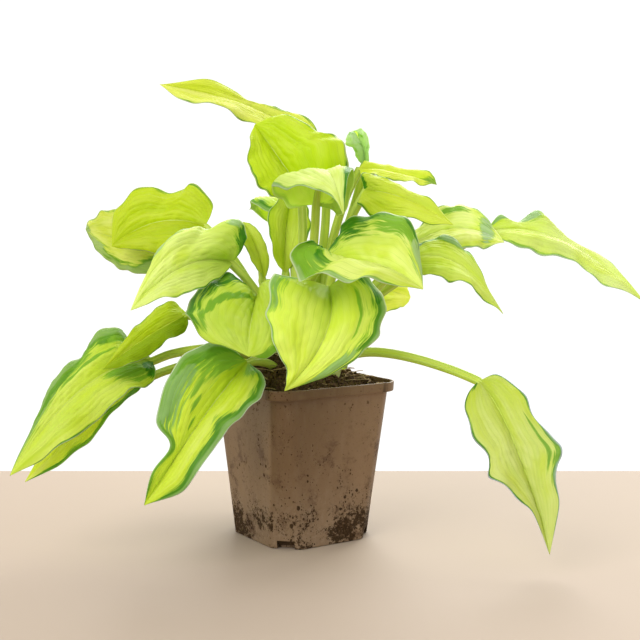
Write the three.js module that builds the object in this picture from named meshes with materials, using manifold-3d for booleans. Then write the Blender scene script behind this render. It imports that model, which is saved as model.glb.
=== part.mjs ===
// A potted hosta: a tapered square nursery pot, its potting soil and the plant's leaves.
// Units are millimetres, +Z is up, and the origin is the centre of the pot's base.
// Each leaf is one solid: a thin waved blade grown together with its petiole, which stands
// in a plain hole in the soil.

import * as THREE from 'three';
import { mergeVertices } from 'three/addons/utils/BufferGeometryUtils.js';
import Module from 'manifold-3d';

const wasm = await Module();
wasm.setup();

// Fit between solids that touch
const CLEARANCE = 0.3;

// Pot: a square with cut corners that widens upwards, under a stepped-out rim
const POT = {
  height: 98, rimHeight: 6, wall: 1.2, floor: 1.6,
  baseHalf: 35.6, baseCorner: 13.4, baseBevel: 0.6,
  bodyHalf: 41.8, bodyCorner: 9.6,
  rimHalf: 45, rimDraft: 0.3, rimCorner: 11,
  rounding: 0.85,
  notchWidth: 11, notchHeight: 5, notchDepth: 8,
};
const CORNER_STEPS = 4;
const SIDE_STEPS = 4;
// How far a corner shortens when its ring moves inwards by one
const CORNER_INSET = 2 - Math.SQRT2;

// Soil: a flat-topped mound heaped up at one place, and small ridges of two directions across it
const SOIL = {
  edgeDrop: 0.7, crown: 11, lump: 13, lumpX: -20, lumpY: -3, lumpSpread: 19, flatness: 4,
  roughness: 0.5, ridges: [[0.9, 0.4], [0.5, -1.1]], rings: 4, cornerEase: 1.2,
};

// Petioles: upright in the soil, then arching out to the blade and on under its midrib
const PETIOLE = {
  baseRadius: 2.9, topRadius: 1.9, endRadius: 0.5, sides: 6, steps: 7,
  bottom: 84, bend: 99, rise: 0.35, reach: 0.35, ribSteps: 3, ribEnd: 0.3, ribDrop: 0.5,
};

// Blades: thickness, the dome of each half as a share of its reach, and the margin's waves;
// rise and fall are how steeply dome and waves grow from the joint and fade to the tip
const BLADE = {
  thickness: 0.8, dome: 0.12, domeRise: 4,
  wave: 1.8, waves: 3, phaseRight: 2.1, waveRise: 6, waveFall: 5,
};
const HOLE_GAP = CLEARANCE / Math.cos(Math.PI / PETIOLE.sides);
const GRID = { across: 8, along: 11 };
const SMALL_GRID = { across: 6, along: 8 };

// The plant stands turned on the pot. The leaves' points are in the plant's own frame:
// X to the right and Y to the back as seen from its front, Z up from the pot's base.
const PLANT_TURN = THREE.MathUtils.degToRad(-33);

// Each leaf: where its petiole stands in the soil, its midrib from joint over middle to tip,
// and its left and right margins from joint to tip as seen along the midrib from above.
const LEAVES = [
  {
    name: 'leaf_front_heart', root: [13, -19],
    rib: [[17, -40, 158], [15, -70, 132], [-8, -76, 101]],
    left: [[37, -40, 168], [50, -52, 149], [44, -66, 130], [23, -76, 113]],
    right: [[-12, -46, 167], [-18, -60, 150], [-15, -72, 130], [-7, -78, 112]],
  },
  {
    name: 'leaf_front_cupped', root: [5, -14], wave: 1,
    rib: [[12, -44, 171], [43, -60, 172], [70, -72, 158]],
    left: [[20, -36, 184], [25, -36, 195], [41, -42, 200], [61, -50, 198], [69, -60, 180]],
    right: [[7, -56, 186], [-4, -64, 179], [-1, -70, 165], [13, -76, 168],
      [26, -80, 162], [42, -80, 164], [58, -78, 160]],
  },
  {
    name: 'leaf_front_round', root: [-3, -12], arrive: [-0.5, -0.1, 0.6],
    rib: [[-26, -22, 151], [-28, -57, 137], [-28, -80, 121]],
    left: [[-17, -24, 162], [-10, -43, 150], [-7, -60, 134], [-14, -74, 121]],
    right: [[-38, -20, 163], [-57, -32, 160], [-66, -50, 144], [-52, -68, 130]],
  },
  {
    name: 'leaf_front_hanging', root: [-12, -17], wave: 1,
    rib: [[-31, -38, 113], [-55, -62, 84], [-87, -82, 37]],
    left: [[-20, -54, 105], [-24, -62, 93], [-38, -70, 81], [-49, -78, 67], [-63, -84, 47]],
    right: [[-44, -38, 123], [-61, -44, 123], [-75, -58, 108],
      [-81, -70, 84], [-73, -76, 69], [-83, -82, 54]],
  },
  {
    name: 'leaf_top_front', root: [4, -6],
    rib: [[10, -12, 206], [16, -48, 226], [25, -76, 200]],
    left: [[25, -14, 201], [31, -26, 215], [31, -46, 228], [27, -66, 216]],
    right: [[-10, -8, 207], [-16, -30, 216], [1, -58, 215], [17, -70, 212]],
  },
  {
    name: 'leaf_top_upright', root: [-3, -2], arrive: [-0.1, 0.1, 1],
    rib: [[0, 0, 216], [-14, 8, 236], [-29, 14, 257]],
    left: [[-15, -8, 212], [-27, -8, 219], [-32, 0, 235], [-32, 6, 247]],
    right: [[27, -4, 223], [26, -2, 247], [11, 6, 252], [-11, 12, 263]],
  },
  {
    name: 'leaf_top_long', root: [4, 3],
    rib: [[11, 34, 242], [-26, 38, 267], [-89, 16, 282]],
    left: [[2, 30, 242], [-16, 28, 248], [-31, 24, 258], [-49, 14, 267], [-70, 8, 270]],
    right: [[12, 40, 253], [3, 44, 263], [-14, 46, 270], [-30, 42, 273], [-56, 28, 286]],
  },
  {
    name: 'leaf_top_young', root: [6, 12], small: true, wave: 0.6,
    rib: [[40, 20, 231], [39, 18, 243], [33, 12, 253]],
    left: [[36, 18, 235], [33, 14, 241], [28, 8, 246], [29, 8, 251]],
    right: [[43, 18, 235], [43, 16, 242], [42, 14, 250], [38, 12, 254]],
  },
  {
    name: 'leaf_top_right', root: [12, 6], small: true, wave: 1, arrive: [0.5, 0, 1],
    rib: [[36, 5, 229], [60, 10, 226], [85, 5, 219]],
    left: [[42, 14, 235], [55, 18, 232], [68, 16, 230], [81, 8, 227]],
    right: [[39, -2, 225], [51, -4, 222], [64, -2, 220], [76, 0, 219]],
  },
  {
    name: 'leaf_right_upper', root: [12, -3], arrive: [0.5, -0.1, 1],
    rib: [[39, -8, 215], [63, -22, 210], [91, -34, 194]],
    left: [[39, -4, 227], [54, -10, 221], [68, -18, 215], [81, -26, 206]],
    right: [[35, -14, 207], [46, -20, 198], [62, -26, 198], [78, -34, 195]],
  },
  {
    name: 'leaf_centre_upright', root: [-9, 10], small: true, wave: 1,
    rib: [[-10, 18, 163], [-10, 24, 189], [-6, 28, 215]],
    left: [[-15, 18, 169], [-20, 16, 186], [-21, 18, 200], [-15, 22, 210]],
    right: [[-5, 18, 170], [3, 18, 183], [6, 20, 197], [2, 22, 209]],
  },
  {
    name: 'leaf_left_middle', root: [-10, -8], wave: 1,
    rib: [[-41, -22, 171], [-68, -42, 170], [-97, -58, 145]],
    left: [[-45, -32, 165], [-57, -46, 157], [-70, -56, 154], [-84, -60, 150]],
    right: [[-32, -14, 185], [-39, -12, 197], [-57, -20, 193], [-71, -30, 190], [-86, -44, 173]],
  },
  {
    name: 'leaf_left_young', root: [-11, 0], small: true, wave: 0.8,
    rib: [[-23, -4, 160], [-27, 0, 179], [-36, 6, 196]],
    left: [[-26, -6, 166], [-32, -6, 175], [-36, -2, 184], [-39, 2, 191]],
    right: [[-20, -2, 166], [-20, 0, 177], [-24, 2, 187], [-30, 4, 194]],
  },
  {
    name: 'leaf_left_upper', root: [-17, 13], wave: 1,
    rib: [[-61, 20, 193], [-93, 32, 196], [-123, 30, 180]],
    left: [[-60, 12, 183], [-79, 18, 177], [-97, 22, 177], [-112, 26, 178]],
    right: [[-57, 26, 207], [-70, 34, 220], [-84, 40, 215], [-104, 44, 219], [-122, 40, 204]],
  },
  {
    name: 'leaf_left_back', root: [-12, 21],
    rib: [[-85, 40, 178], [-118, 52, 184], [-145, 56, 191]],
    left: [[-92, 34, 165], [-111, 42, 162], [-127, 48, 168], [-139, 54, 179]],
    right: [[-90, 48, 189], [-112, 62, 203], [-131, 68, 203], [-143, 64, 199]],
  },
  {
    name: 'leaf_left_small', root: [-19, -4], small: true, wave: 1,
    rib: [[-70, -8, 139], [-92, -26, 127], [-115, -50, 110]],
    left: [[-70, -14, 130], [-80, -26, 124], [-90, -38, 117], [-102, -48, 112]],
    right: [[-78, -2, 145], [-89, -8, 142], [-99, -20, 133], [-107, -36, 122]],
  },
  {
    name: 'leaf_left_low', root: [-19, -12], arrive: [-1, -0.3, -0.38],
    rib: [[-90, -20, 112], [-128, -44, 98], [-168, -60, 49]],
    left: [[-88, -32, 101], [-101, -48, 96], [-119, -58, 80], [-144, -62, 62]],
    right: [[-111, -12, 129], [-126, -18, 125], [-138, -30, 110], [-152, -44, 88]],
  },
  {
    name: 'leaf_left_low_under', root: [-20, 5], small: true, wave: 1, arrive: [-1, -0.2, -0.3],
    rib: [[-96, -10, 100], [-123, -34, 81], [-162, -50, 43]],
    left: [[-97, -18, 96], [-109, -36, 84], [-123, -48, 69], [-139, -54, 55]],
    right: [[-108, -4, 103], [-120, -18, 96], [-134, -30, 83], [-150, -42, 64]],
  },
  {
    name: 'leaf_right_small', root: [19, -4],
    rib: [[64, -14, 172], [93, -26, 172], [121, -36, 141]],
    left: [[75, -4, 183], [88, -8, 186], [101, -16, 178], [110, -28, 161]],
    right: [[72, -24, 165], [84, -36, 163], [97, -40, 159], [109, -40, 151]],
  },
  {
    name: 'leaf_right_back', root: [19, 5],
    rib: [[70, 12, 181], [100, 20, 192], [128, 8, 183]],
    left: [[71, 24, 191], [86, 32, 202], [104, 34, 206], [118, 22, 199]],
    right: [[73, 4, 175], [87, 0, 177], [100, 0, 179], [114, 2, 180]],
  },
  {
    name: 'leaf_right_long', root: [20, 13], wave: 1,
    rib: [[118, 26, 189], [166, 30, 185], [218, 10, 145]],
    left: [[129, 36, 200], [141, 38, 197], [156, 44, 202],
      [173, 38, 186], [192, 30, 175], [205, 20, 163]],
    right: [[127, 20, 186], [140, 14, 179], [156, 12, 176],
      [174, 12, 171], [185, 8, 160], [200, 6, 154]],
  },
  {
    name: 'leaf_right_under', root: [14, 19], small: true, wave: 1,
    rib: [[35, 22, 148], [54, 30, 151], [72, 44, 146]],
    left: [[41, 28, 154], [53, 36, 156], [64, 42, 155], [70, 46, 152]],
    right: [[40, 18, 142], [51, 20, 138], [60, 28, 139], [68, 38, 141]],
  },
  {
    name: 'leaf_right_hanging', root: [21, -13], wave: 1, arrive: [1, -0.2, -0.42],
    rib: [[106, -40, 102], [123, -64, 71], [140, -90, 11]],
    left: [[118, -44, 106], [130, -54, 97], [137, -64, 82],
      [148, -76, 69], [145, -82, 57], [145, -88, 39]],
    right: [[99, -44, 93], [99, -60, 76], [108, -72, 62],
      [108, -80, 52], [121, -86, 43], [130, -88, 35]],
  },
  {
    name: 'leaf_back_low_left', root: [-5, 22], small: true,
    rib: [[-26, 48, 118], [-32, 72, 106], [-36, 84, 58]],
    left: [[-42, 44, 118], [-56, 60, 108], [-56, 76, 88], [-48, 84, 68]],
    right: [[-11, 44, 120], [-8, 62, 110], [-14, 76, 92], [-22, 82, 72]],
  },
  {
    name: 'leaf_back_low_right', root: [4, 22], small: true,
    rib: [[14, 50, 124], [14, 78, 112], [16, 92, 62]],
    left: [[4, 48, 126], [-2, 68, 118], [0, 82, 98], [8, 90, 76]],
    right: [[24, 46, 122], [30, 62, 112], [30, 80, 92], [24, 88, 72]],
  },
  {
    name: 'leaf_back_middle', root: [-1, 15],
    rib: [[0, 46, 146], [0, 88, 146], [-4, 120, 112]],
    left: [[-20, 44, 146], [-32, 66, 144], [-28, 94, 138], [-16, 112, 124]],
    right: [[18, 44, 146], [30, 66, 144], [22, 94, 138], [8, 112, 124]],
  },
  {
    name: 'leaf_back_top', root: [-2, 7], small: true,
    rib: [[-8, 40, 204], [-12, 66, 214], [-14, 98, 194]],
    left: [[-18, 38, 204], [-32, 54, 206], [-34, 76, 204], [-26, 90, 196]],
    right: [[2, 38, 205], [6, 54, 210], [2, 76, 210], [-8, 90, 204]],
  },
];

const COLOURS = {
  pot: 0x87705f, soil: 0x33241b, leaf: 0xb9d64a,
};

const UP = new THREE.Vector3(0, 0, 1);
const vector = (p) => new THREE.Vector3(p[0], p[1], p[2]);

// A closed three.js geometry as a manifold-3d solid
function toSolid(geometry) {
  const bare = geometry.clone();
  bare.deleteAttribute('normal');
  bare.deleteAttribute('uv');
  const merged = mergeVertices(bare, 1e-4);
  return new wasm.Manifold(new wasm.Mesh({
    numProp: 3,
    vertProperties: Float32Array.from(merged.attributes.position.array),
    triVerts: Uint32Array.from(merged.index.array),
  }));
}

// A manifold-3d solid as a three.js geometry
function toGeometry(solid) {
  const mesh = solid.getMesh();
  const geometry = new THREE.BufferGeometry();
  geometry.setAttribute('position', new THREE.BufferAttribute(mesh.vertProperties, 3));
  geometry.setIndex(new THREE.BufferAttribute(mesh.triVerts, 1));
  geometry.computeVertexNormals();
  return geometry;
}

function fromPoints(points, indices) {
  const geometry = new THREE.BufferGeometry();
  geometry.setAttribute('position', new THREE.Float32BufferAttribute(points, 3));
  geometry.setIndex(indices);
  return geometry;
}

// A solid skinned over rings of equal point counts, closed by a fan at each end
function loft(rings, start, end) {
  const count = rings[0].length;
  const points = rings.flat().flatMap((p) => [p.x, p.y, p.z]);
  points.push(start.x, start.y, start.z, end.x, end.y, end.z);
  const first = rings.length * count;
  const last = (rings.length - 1) * count;
  const indices = [];
  for (let i = 0; i < count; i += 1) {
    const next = (i + 1) % count;
    for (let row = 0; row < last; row += count) {
      indices.push(row + i, row + next, row + count + next);
      indices.push(row + i, row + count + next, row + count + i);
    }
    indices.push(first, next, i);
    indices.push(first + 1, last + i, last + next);
  }
  return fromPoints(points, indices);
}

// One level of the pot: a square with its corners cut straight (rounding 0) to round (1)
function potRing(half, corner, z, rounding) {
  const ring = [];
  for (let quarter = 0; quarter < 4; quarter += 1) {
    const turn = quarter * Math.PI / 2;
    for (let step = 1; step < SIDE_STEPS; step += 1) {
      const y = (half - corner) * (2 * step / SIDE_STEPS - 1);
      ring.push(new THREE.Vector3(half, y, z).applyAxisAngle(UP, turn));
    }
    for (let step = 0; step <= CORNER_STEPS; step += 1) {
      const share = step / CORNER_STEPS;
      const angle = share * Math.PI / 2;
      const x = half - corner + corner * THREE.MathUtils.lerp(1 - share, Math.cos(angle), rounding);
      const y = half - corner + corner * THREE.MathUtils.lerp(share, Math.sin(angle), rounding);
      ring.push(new THREE.Vector3(x, y, z).applyAxisAngle(UP, turn));
    }
  }
  return ring;
}

const shoulder = POT.height - POT.rimHeight;

// The body's wall at a height, moved inwards by an offset, with its corners cut back by an ease
function wallRing(z, offset, ease = 0) {
  const share = z / shoulder;
  const half = THREE.MathUtils.lerp(POT.baseHalf, POT.bodyHalf, share) - offset;
  const cut = THREE.MathUtils.lerp(POT.baseCorner, POT.bodyCorner, share);
  const corner = cut - offset * CORNER_INSET + ease;
  return potRing(half, corner, z, POT.rounding * share);
}

function rimRing(z, half, offset) {
  return potRing(half - offset, POT.rimCorner - offset * CORNER_INSET, z, POT.rounding);
}

function buildPot() {
  const rimTop = POT.rimHalf + POT.rimDraft;
  const step = shoulder + POT.wall;
  const base = potRing(POT.baseHalf - POT.baseBevel, POT.baseCorner, 0, 0);
  const rings = [
    base,
    wallRing(POT.baseBevel, 0),
    wallRing(shoulder / 2, 0),
    wallRing(shoulder, 0),
    rimRing(shoulder, POT.rimHalf, 0),
    rimRing(POT.height, rimTop, 0),
    rimRing(POT.height, rimTop, POT.wall),
    rimRing(step, POT.rimHalf, POT.wall),
    wallRing(shoulder, POT.wall).map((p) => p.setZ(step)),
    wallRing(shoulder / 2, POT.wall),
    wallRing(POT.floor, POT.wall),
  ];
  const shell = loft(rings, new THREE.Vector3(0, 0, 0), new THREE.Vector3(0, 0, POT.floor));
  let solid = toSolid(shell);
  const cornerDistance = (2 * POT.baseHalf - POT.baseCorner) / Math.SQRT2;
  for (let quarter = 0; quarter < 4; quarter += 1) {
    const notch = new THREE.BoxGeometry(POT.notchDepth, POT.notchWidth, 2 * POT.notchHeight);
    notch.translate(cornerDistance, 0, 0);
    notch.rotateZ(Math.PI / 4 + quarter * Math.PI / 2);
    solid = solid.subtract(toSolid(notch));
  }
  return toGeometry(solid);
}

// Height of the soil's surface, share 0 at the centre to 1 at the wall
function soilHeight(x, y, share) {
  const edge = shoulder - SOIL.edgeDrop;
  const bump = Math.exp(-((x - SOIL.lumpX) ** 2 + (y - SOIL.lumpY) ** 2) / SOIL.lumpSpread ** 2);
  const grain = SOIL.ridges.reduce((sum, [a, b]) => sum + Math.sin(a * x + b * y), 0);
  const mound = SOIL.crown + SOIL.lump * bump + SOIL.roughness * grain;
  return edge + (1 - share ** SOIL.flatness) * mound;
}

// The soil's outline at a height, just inside the pot's wall
function soilRing(z, share) {
  const wall = wallRing(z, POT.wall + CLEARANCE, SOIL.cornerEase);
  return wall.map((p) => new THREE.Vector3(p.x * share, p.y * share, z));
}

function buildSoil() {
  const bottom = POT.floor + CLEARANCE;
  const top = shoulder - SOIL.edgeDrop;
  const rings = [soilRing(bottom, 1), soilRing(shoulder / 2, 1)];
  for (let ring = SOIL.rings; ring > 0; ring -= 1) {
    const share = ring / SOIL.rings;
    rings.push(soilRing(top, share).map((p) => p.setZ(soilHeight(p.x, p.y, share))));
  }
  const middle = new THREE.Vector3(0, 0, soilHeight(0, 0, 0));
  let solid = toSolid(loft(rings, new THREE.Vector3(0, 0, bottom), middle));
  for (const leaf of LEAVES) {
    const hole = petioleGeometry(leaf, midrib(leaf), bladeUp(leaf), HOLE_GAP);
    hole.rotateZ(PLANT_TURN);
    solid = solid.subtract(toSolid(hole));
  }
  return toGeometry(solid);
}

// The midrib: a curve from the joint over the middle to the tip
function midrib(leaf) {
  const [joint, middle, tip] = leaf.rib.map(vector);
  const control = middle.clone().multiplyScalar(4).sub(joint).sub(tip).divideScalar(2);
  return new THREE.QuadraticBezierCurve3(joint, control, tip);
}

// A margin: a curve from the joint over its own points to the tip
function margin(leaf, side) {
  const points = [leaf.rib[0], ...side, leaf.rib[2]].map(vector);
  return new THREE.CatmullRomCurve3(points, false, 'catmullrom', 0.5);
}

// The blade's middle surface: each station's two halves reach straight from the midrib to the
// margins, domed upwards between them, and the margins wave across the surface
function bladeSheet(leaf, grid) {
  const rib = midrib(leaf);
  const margins = [margin(leaf, leaf.left), margin(leaf, leaf.right)];
  const wave = leaf.wave ?? BLADE.wave;
  const rows = [];
  for (let j = 0; j <= grid.along; j += 1) {
    const t = j / grid.along;
    const start = rib.getPoint(t);
    const along = rib.getTangent(t);
    const row = [];
    for (let i = 0; i <= grid.across; i += 1) {
      const s = 2 * i / grid.across - 1;
      const right = s >= 0;
      const share = Math.abs(s);
      const reach = margins[right ? 1 : 0].getPoint(t).sub(start);
      const up = right ? reach.clone().cross(along) : along.clone().cross(reach);
      const phase = right ? BLADE.phaseRight : 0;
      const fade = Math.min(1, BLADE.waveRise * t) * Math.min(1, BLADE.waveFall * (1 - t));
      const crown = BLADE.dome * reach.length() * Math.min(1, BLADE.domeRise * t);
      const dome = crown * 4 * share * (1 - share);
      const ripple = wave * share ** 3 * Math.sin(2 * Math.PI * BLADE.waves * t + phase) * fade;
      row.push(start.clone().addScaledVector(reach, share)
        .addScaledVector(up.normalize(), dome + ripple));
    }
    rows.push(row);
  }
  return rows;
}

// Directions square to a sheet at its points, from the neighbours along and across it
function sheetNormals(rows) {
  const lastRow = rows.length - 1;
  const lastColumn = rows[0].length - 1;
  return rows.map((row, j) => row.map((_, i) => {
    const inner = THREE.MathUtils.clamp(j, 1, lastRow - 1);
    const before = rows[inner][Math.max(i - 1, 0)];
    const after = rows[inner][Math.min(i + 1, lastColumn)];
    const along = rows[inner + 1][i].clone().sub(rows[inner - 1][i]);
    return after.clone().sub(before).cross(along).normalize();
  }));
}

// The blade: two alike faces half its thickness to either side of the sheet, joined round the
// margin, with one point per face at the joint and at the tip
function bladeGeometry(leaf, grid) {
  const rows = bladeSheet(leaf, grid);
  const normals = sheetNormals(rows);
  const width = grid.across + 1;
  const faceSize = (grid.along + 1) * width;
  const centre = grid.across / 2;
  const points = [];
  for (const side of [0.5, -0.5]) {
    rows.forEach((row, j) => row.forEach((p, i) => {
      const pole = j === 0 || j === grid.along;
      const normal = pole ? normals[j][centre] : normals[j][i];
      points.push(...p.clone().addScaledVector(normal, side * BLADE.thickness).toArray());
    }));
  }
  const at = (face, j, i) => {
    const pole = j === 0 || j === grid.along;
    return face * faceSize + j * width + (pole ? centre : i);
  };
  const indices = [];
  const add = (a, b, c) => {
    if (a !== b && b !== c && c !== a) {
      indices.push(a, b, c);
    }
  };
  for (let j = 0; j < grid.along; j += 1) {
    for (let i = 0; i < grid.across; i += 1) {
      add(at(0, j, i), at(0, j, i + 1), at(0, j + 1, i + 1));
      add(at(0, j, i), at(0, j + 1, i + 1), at(0, j + 1, i));
      add(at(1, j, i), at(1, j + 1, i + 1), at(1, j, i + 1));
      add(at(1, j, i), at(1, j + 1, i), at(1, j + 1, i + 1));
    }
    const right = grid.across;
    add(at(0, j, 0), at(0, j + 1, 0), at(1, j + 1, 0));
    add(at(0, j, 0), at(1, j + 1, 0), at(1, j, 0));
    add(at(0, j, right), at(1, j + 1, right), at(0, j + 1, right));
    add(at(0, j, right), at(1, j, right), at(1, j + 1, right));
  }
  return fromPoints(points, indices);
}

// The petiole's line: straight up out of the soil, then an arch that meets the blade's joint
function petiolePath(leaf, rib) {
  const bend = new THREE.Vector3(leaf.root[0], leaf.root[1], PETIOLE.bend);
  const joint = rib.v0;
  const span = bend.distanceTo(joint);
  const straight = joint.clone().sub(bend).normalize();
  const arrive = leaf.arrive ? vector(leaf.arrive) : rib.getTangent(0).add(straight);
  const rise = bend.clone().addScaledVector(UP, span * PETIOLE.rise);
  const meet = joint.clone().addScaledVector(arrive.normalize(), -span * PETIOLE.reach);
  return new THREE.CubicBezierCurve3(bend, rise, meet, joint);
}

// The petiole: rings along its line, thinning out under the midrib
function petioleGeometry(leaf, rib, up, gap = 0) {
  const path = petiolePath(leaf, rib);
  const foot = path.v0.clone().setZ(PETIOLE.bottom - gap);
  const stations = [{ point: foot, tangent: UP, radius: PETIOLE.baseRadius }];
  for (let step = 0; step <= PETIOLE.steps; step += 1) {
    const u = step / PETIOLE.steps;
    const radius = THREE.MathUtils.lerp(PETIOLE.baseRadius, PETIOLE.topRadius, u);
    stations.push({ point: path.getPoint(u), tangent: path.getTangent(u), radius });
  }
  const joint = stations[PETIOLE.steps + 1];
  joint.point.addScaledVector(up, -PETIOLE.ribDrop * joint.radius);
  joint.tangent = joint.tangent.clone().add(rib.getTangent(0)).normalize();
  for (let step = 1; step <= PETIOLE.ribSteps; step += 1) {
    const share = step / PETIOLE.ribSteps;
    const radius = THREE.MathUtils.lerp(PETIOLE.topRadius, PETIOLE.endRadius, share);
    const t = share * PETIOLE.ribEnd;
    const point = rib.getPoint(t).addScaledVector(up, -PETIOLE.ribDrop * radius);
    stations.push({ point, tangent: rib.getTangent(t), radius });
  }
  const across = joint.tangent.clone().cross(up).normalize();
  const rings = stations.map(({ point, tangent, radius }) => {
    const side = across.clone().addScaledVector(tangent, -across.dot(tangent)).normalize();
    const over = tangent.clone().cross(side);
    return Array.from({ length: PETIOLE.sides }, (_, i) => {
      const angle = (i / PETIOLE.sides) * 2 * Math.PI;
      return point.clone().addScaledVector(side, (radius + gap) * Math.cos(angle))
        .addScaledVector(over, (radius + gap) * Math.sin(angle));
    });
  });
  return loft(rings, stations[0].point, stations[stations.length - 1].point);
}

// A whole leaf: its blade and petiole joined in one solid
// The blade's upward direction at its joint
function bladeUp(leaf) {
  const grid = leaf.small ? SMALL_GRID : GRID;
  return sheetNormals(bladeSheet(leaf, grid))[1][grid.across / 2];
}

function buildLeaf(leaf) {
  const grid = leaf.small ? SMALL_GRID : GRID;
  const blade = toSolid(bladeGeometry(leaf, grid));
  const petiole = toSolid(petioleGeometry(leaf, midrib(leaf), bladeUp(leaf)));
  return toGeometry(blade.add(petiole));
}

function part(name, geometry, material) {
  const mesh = new THREE.Mesh(geometry, material);
  mesh.name = name;
  return mesh;
}

function finish(colour, roughness) {
  return new THREE.MeshStandardMaterial({ color: colour, roughness, metalness: 0 });
}

const hosta = new THREE.Group();
hosta.add(part('pot', buildPot(), finish(COLOURS.pot, 0.6)));
hosta.add(part('soil', buildSoil(), finish(COLOURS.soil, 0.95)));

const plant = new THREE.Group();
plant.rotation.z = PLANT_TURN;
for (const leaf of LEAVES) {
  plant.add(part(leaf.name, buildLeaf(leaf), finish(COLOURS.leaf, 0.45)));
}
hosta.add(plant);

export default hosta;
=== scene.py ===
"""Looks for a potted hosta: a square nursery pot, its potting soil and the plant's variegated leaves.

Lengths are in millimetres in the tables and in the shape functions, and become metres when a mesh
is made. The leaves' points are in the plant's own frame, which stands turned on the pot.
"""
import logging
import math
from dataclasses import dataclass, field
from enum import Enum

import bpy
import numpy as np
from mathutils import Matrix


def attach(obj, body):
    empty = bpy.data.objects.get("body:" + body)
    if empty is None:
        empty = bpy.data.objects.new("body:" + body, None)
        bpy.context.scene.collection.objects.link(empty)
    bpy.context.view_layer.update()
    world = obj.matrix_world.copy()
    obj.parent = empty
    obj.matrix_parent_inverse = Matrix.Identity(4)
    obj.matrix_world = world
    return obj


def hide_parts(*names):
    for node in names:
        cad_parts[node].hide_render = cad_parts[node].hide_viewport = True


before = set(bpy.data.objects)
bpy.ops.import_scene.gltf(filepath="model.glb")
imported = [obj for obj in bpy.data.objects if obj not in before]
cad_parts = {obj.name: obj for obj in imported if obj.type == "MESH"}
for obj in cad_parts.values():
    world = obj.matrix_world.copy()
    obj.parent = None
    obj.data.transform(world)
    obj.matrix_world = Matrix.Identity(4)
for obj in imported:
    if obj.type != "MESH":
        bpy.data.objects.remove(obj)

LOG = logging.getLogger("hosta")
MM = 0.001
ROOT_BODY = "root"
PLANT_TURN = math.radians(-33)
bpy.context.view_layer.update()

Array = np.ndarray
Point = tuple[float, float, float]
Colour = tuple[float, float, float]
Socket = bpy.types.NodeSocket


# ---------------------------------------------------------------- numbers and curves


def smooth(low: float, high: float, x: Array) -> Array:
    """Smooth step: 3u squared minus 2u cubed, where u runs from 0 at low to 1 at high.

    Args:
        low: Where the step is 0; it may lie above the other end, and then the step falls.
        high: Where the step is 1.
        x: The values to step.

    Returns:
        The stepped values.
    """
    u = np.clip((x - low) / (high - low), 0.0, 1.0)
    return u * u * (3.0 - 2.0 * u)


def bell(x: Array, width: float) -> Array:
    """Bell curve: e to the power of minus (x / width) squared."""
    return np.exp(-((x / width) ** 2))


def unit(v: Array) -> Array:
    """Vectors brought to length one along the last axis."""
    return v / np.maximum(np.linalg.norm(v, axis=-1, keepdims=True), 1e-9)


def rotations(axis: int, angles: Array) -> Array:
    """Matrices that turn about one axis: cosines and sines in the plane of the other two.

    Args:
        axis: Number of the axis, 0 to 2.
        angles: Angles in radians.

    Returns:
        One matrix for each angle.
    """
    i, j = (axis + 1) % 3, (axis + 2) % 3
    turns = np.zeros((len(angles), 3, 3))
    turns[:, axis, axis] = 1.0
    turns[:, i, i] = turns[:, j, j] = np.cos(angles)
    turns[:, j, i] = np.sin(angles)
    turns[:, i, j] = -np.sin(angles)
    return turns


def spun(points: Array, angle: float) -> Array:
    """Points turned about the vertical axis by an angle in radians."""
    return np.asarray(points) @ rotations(2, np.array([angle]))[0].T


def bezier(points: Array, u: Array) -> Array:
    """Bezier curve by De Casteljau: neighbours are blended by u until one point is left.

    Args:
        points: Control points, one a row.
        u: Places along the curve, from 0 to 1.

    Returns:
        One point for each place.
    """
    level = [np.broadcast_to(p, (u.size, 3)) for p in points]
    share = u[:, None]
    while len(level) > 1:
        level = [(1 - share) * a + share * b for a, b in zip(level, level[1:])]
    return level[0]


def spline(points: Array, u: Array) -> Array:
    """Uniform Catmull-Rom curve through every point, its ends carried on straight.

    Args:
        points: The points, one a row.
        u: Places along the curve, from 0 to 1.

    Returns:
        One point for each place.
    """
    count = len(points) - 1
    padded = np.vstack([2 * points[0] - points[1], points, 2 * points[-1] - points[-2]])
    place = np.clip(u, 0, 1) * count
    i = np.minimum(place.astype(int), count - 1)
    f = (place - i)[:, None]
    a, b, c, d = (padded[i + k] for k in range(4))
    return 0.5 * (
        2 * b + (c - a) * f + (2 * a - 5 * b + 4 * c - d) * f**2 + (3 * b - a - 3 * c + d) * f**3
    )


def tangents(path: Array) -> Array:
    """Unit directions along a path of points, by central differences."""
    return unit(np.gradient(path, axis=0))


def ripple(x: Array, y: Array, seed: int, wavelength: float, waves: int = 9) -> Array:
    """Smooth random relief: a sum of sine waves in random directions, close to -1..1.

    Args:
        x: First coordinate.
        y: Second coordinate.
        seed: Seed of the directions and phases.
        wavelength: Mean wavelength, in the units of x and y.
        waves: How many sine waves are added.

    Returns:
        The relief at each point.
    """
    rng = np.random.default_rng(seed)
    turn, phase = rng.uniform(0, 2 * np.pi, (2, waves))
    pitch = 2 * np.pi / (wavelength * rng.uniform(0.7, 1.4, waves))
    total = sum(
        np.sin(k * (x * math.cos(a) + y * math.sin(a)) + p) for k, a, p in zip(pitch, turn, phase)
    )
    return total * 1.3 / math.sqrt(waves)


# ---------------------------------------------------------------- meshes


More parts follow.
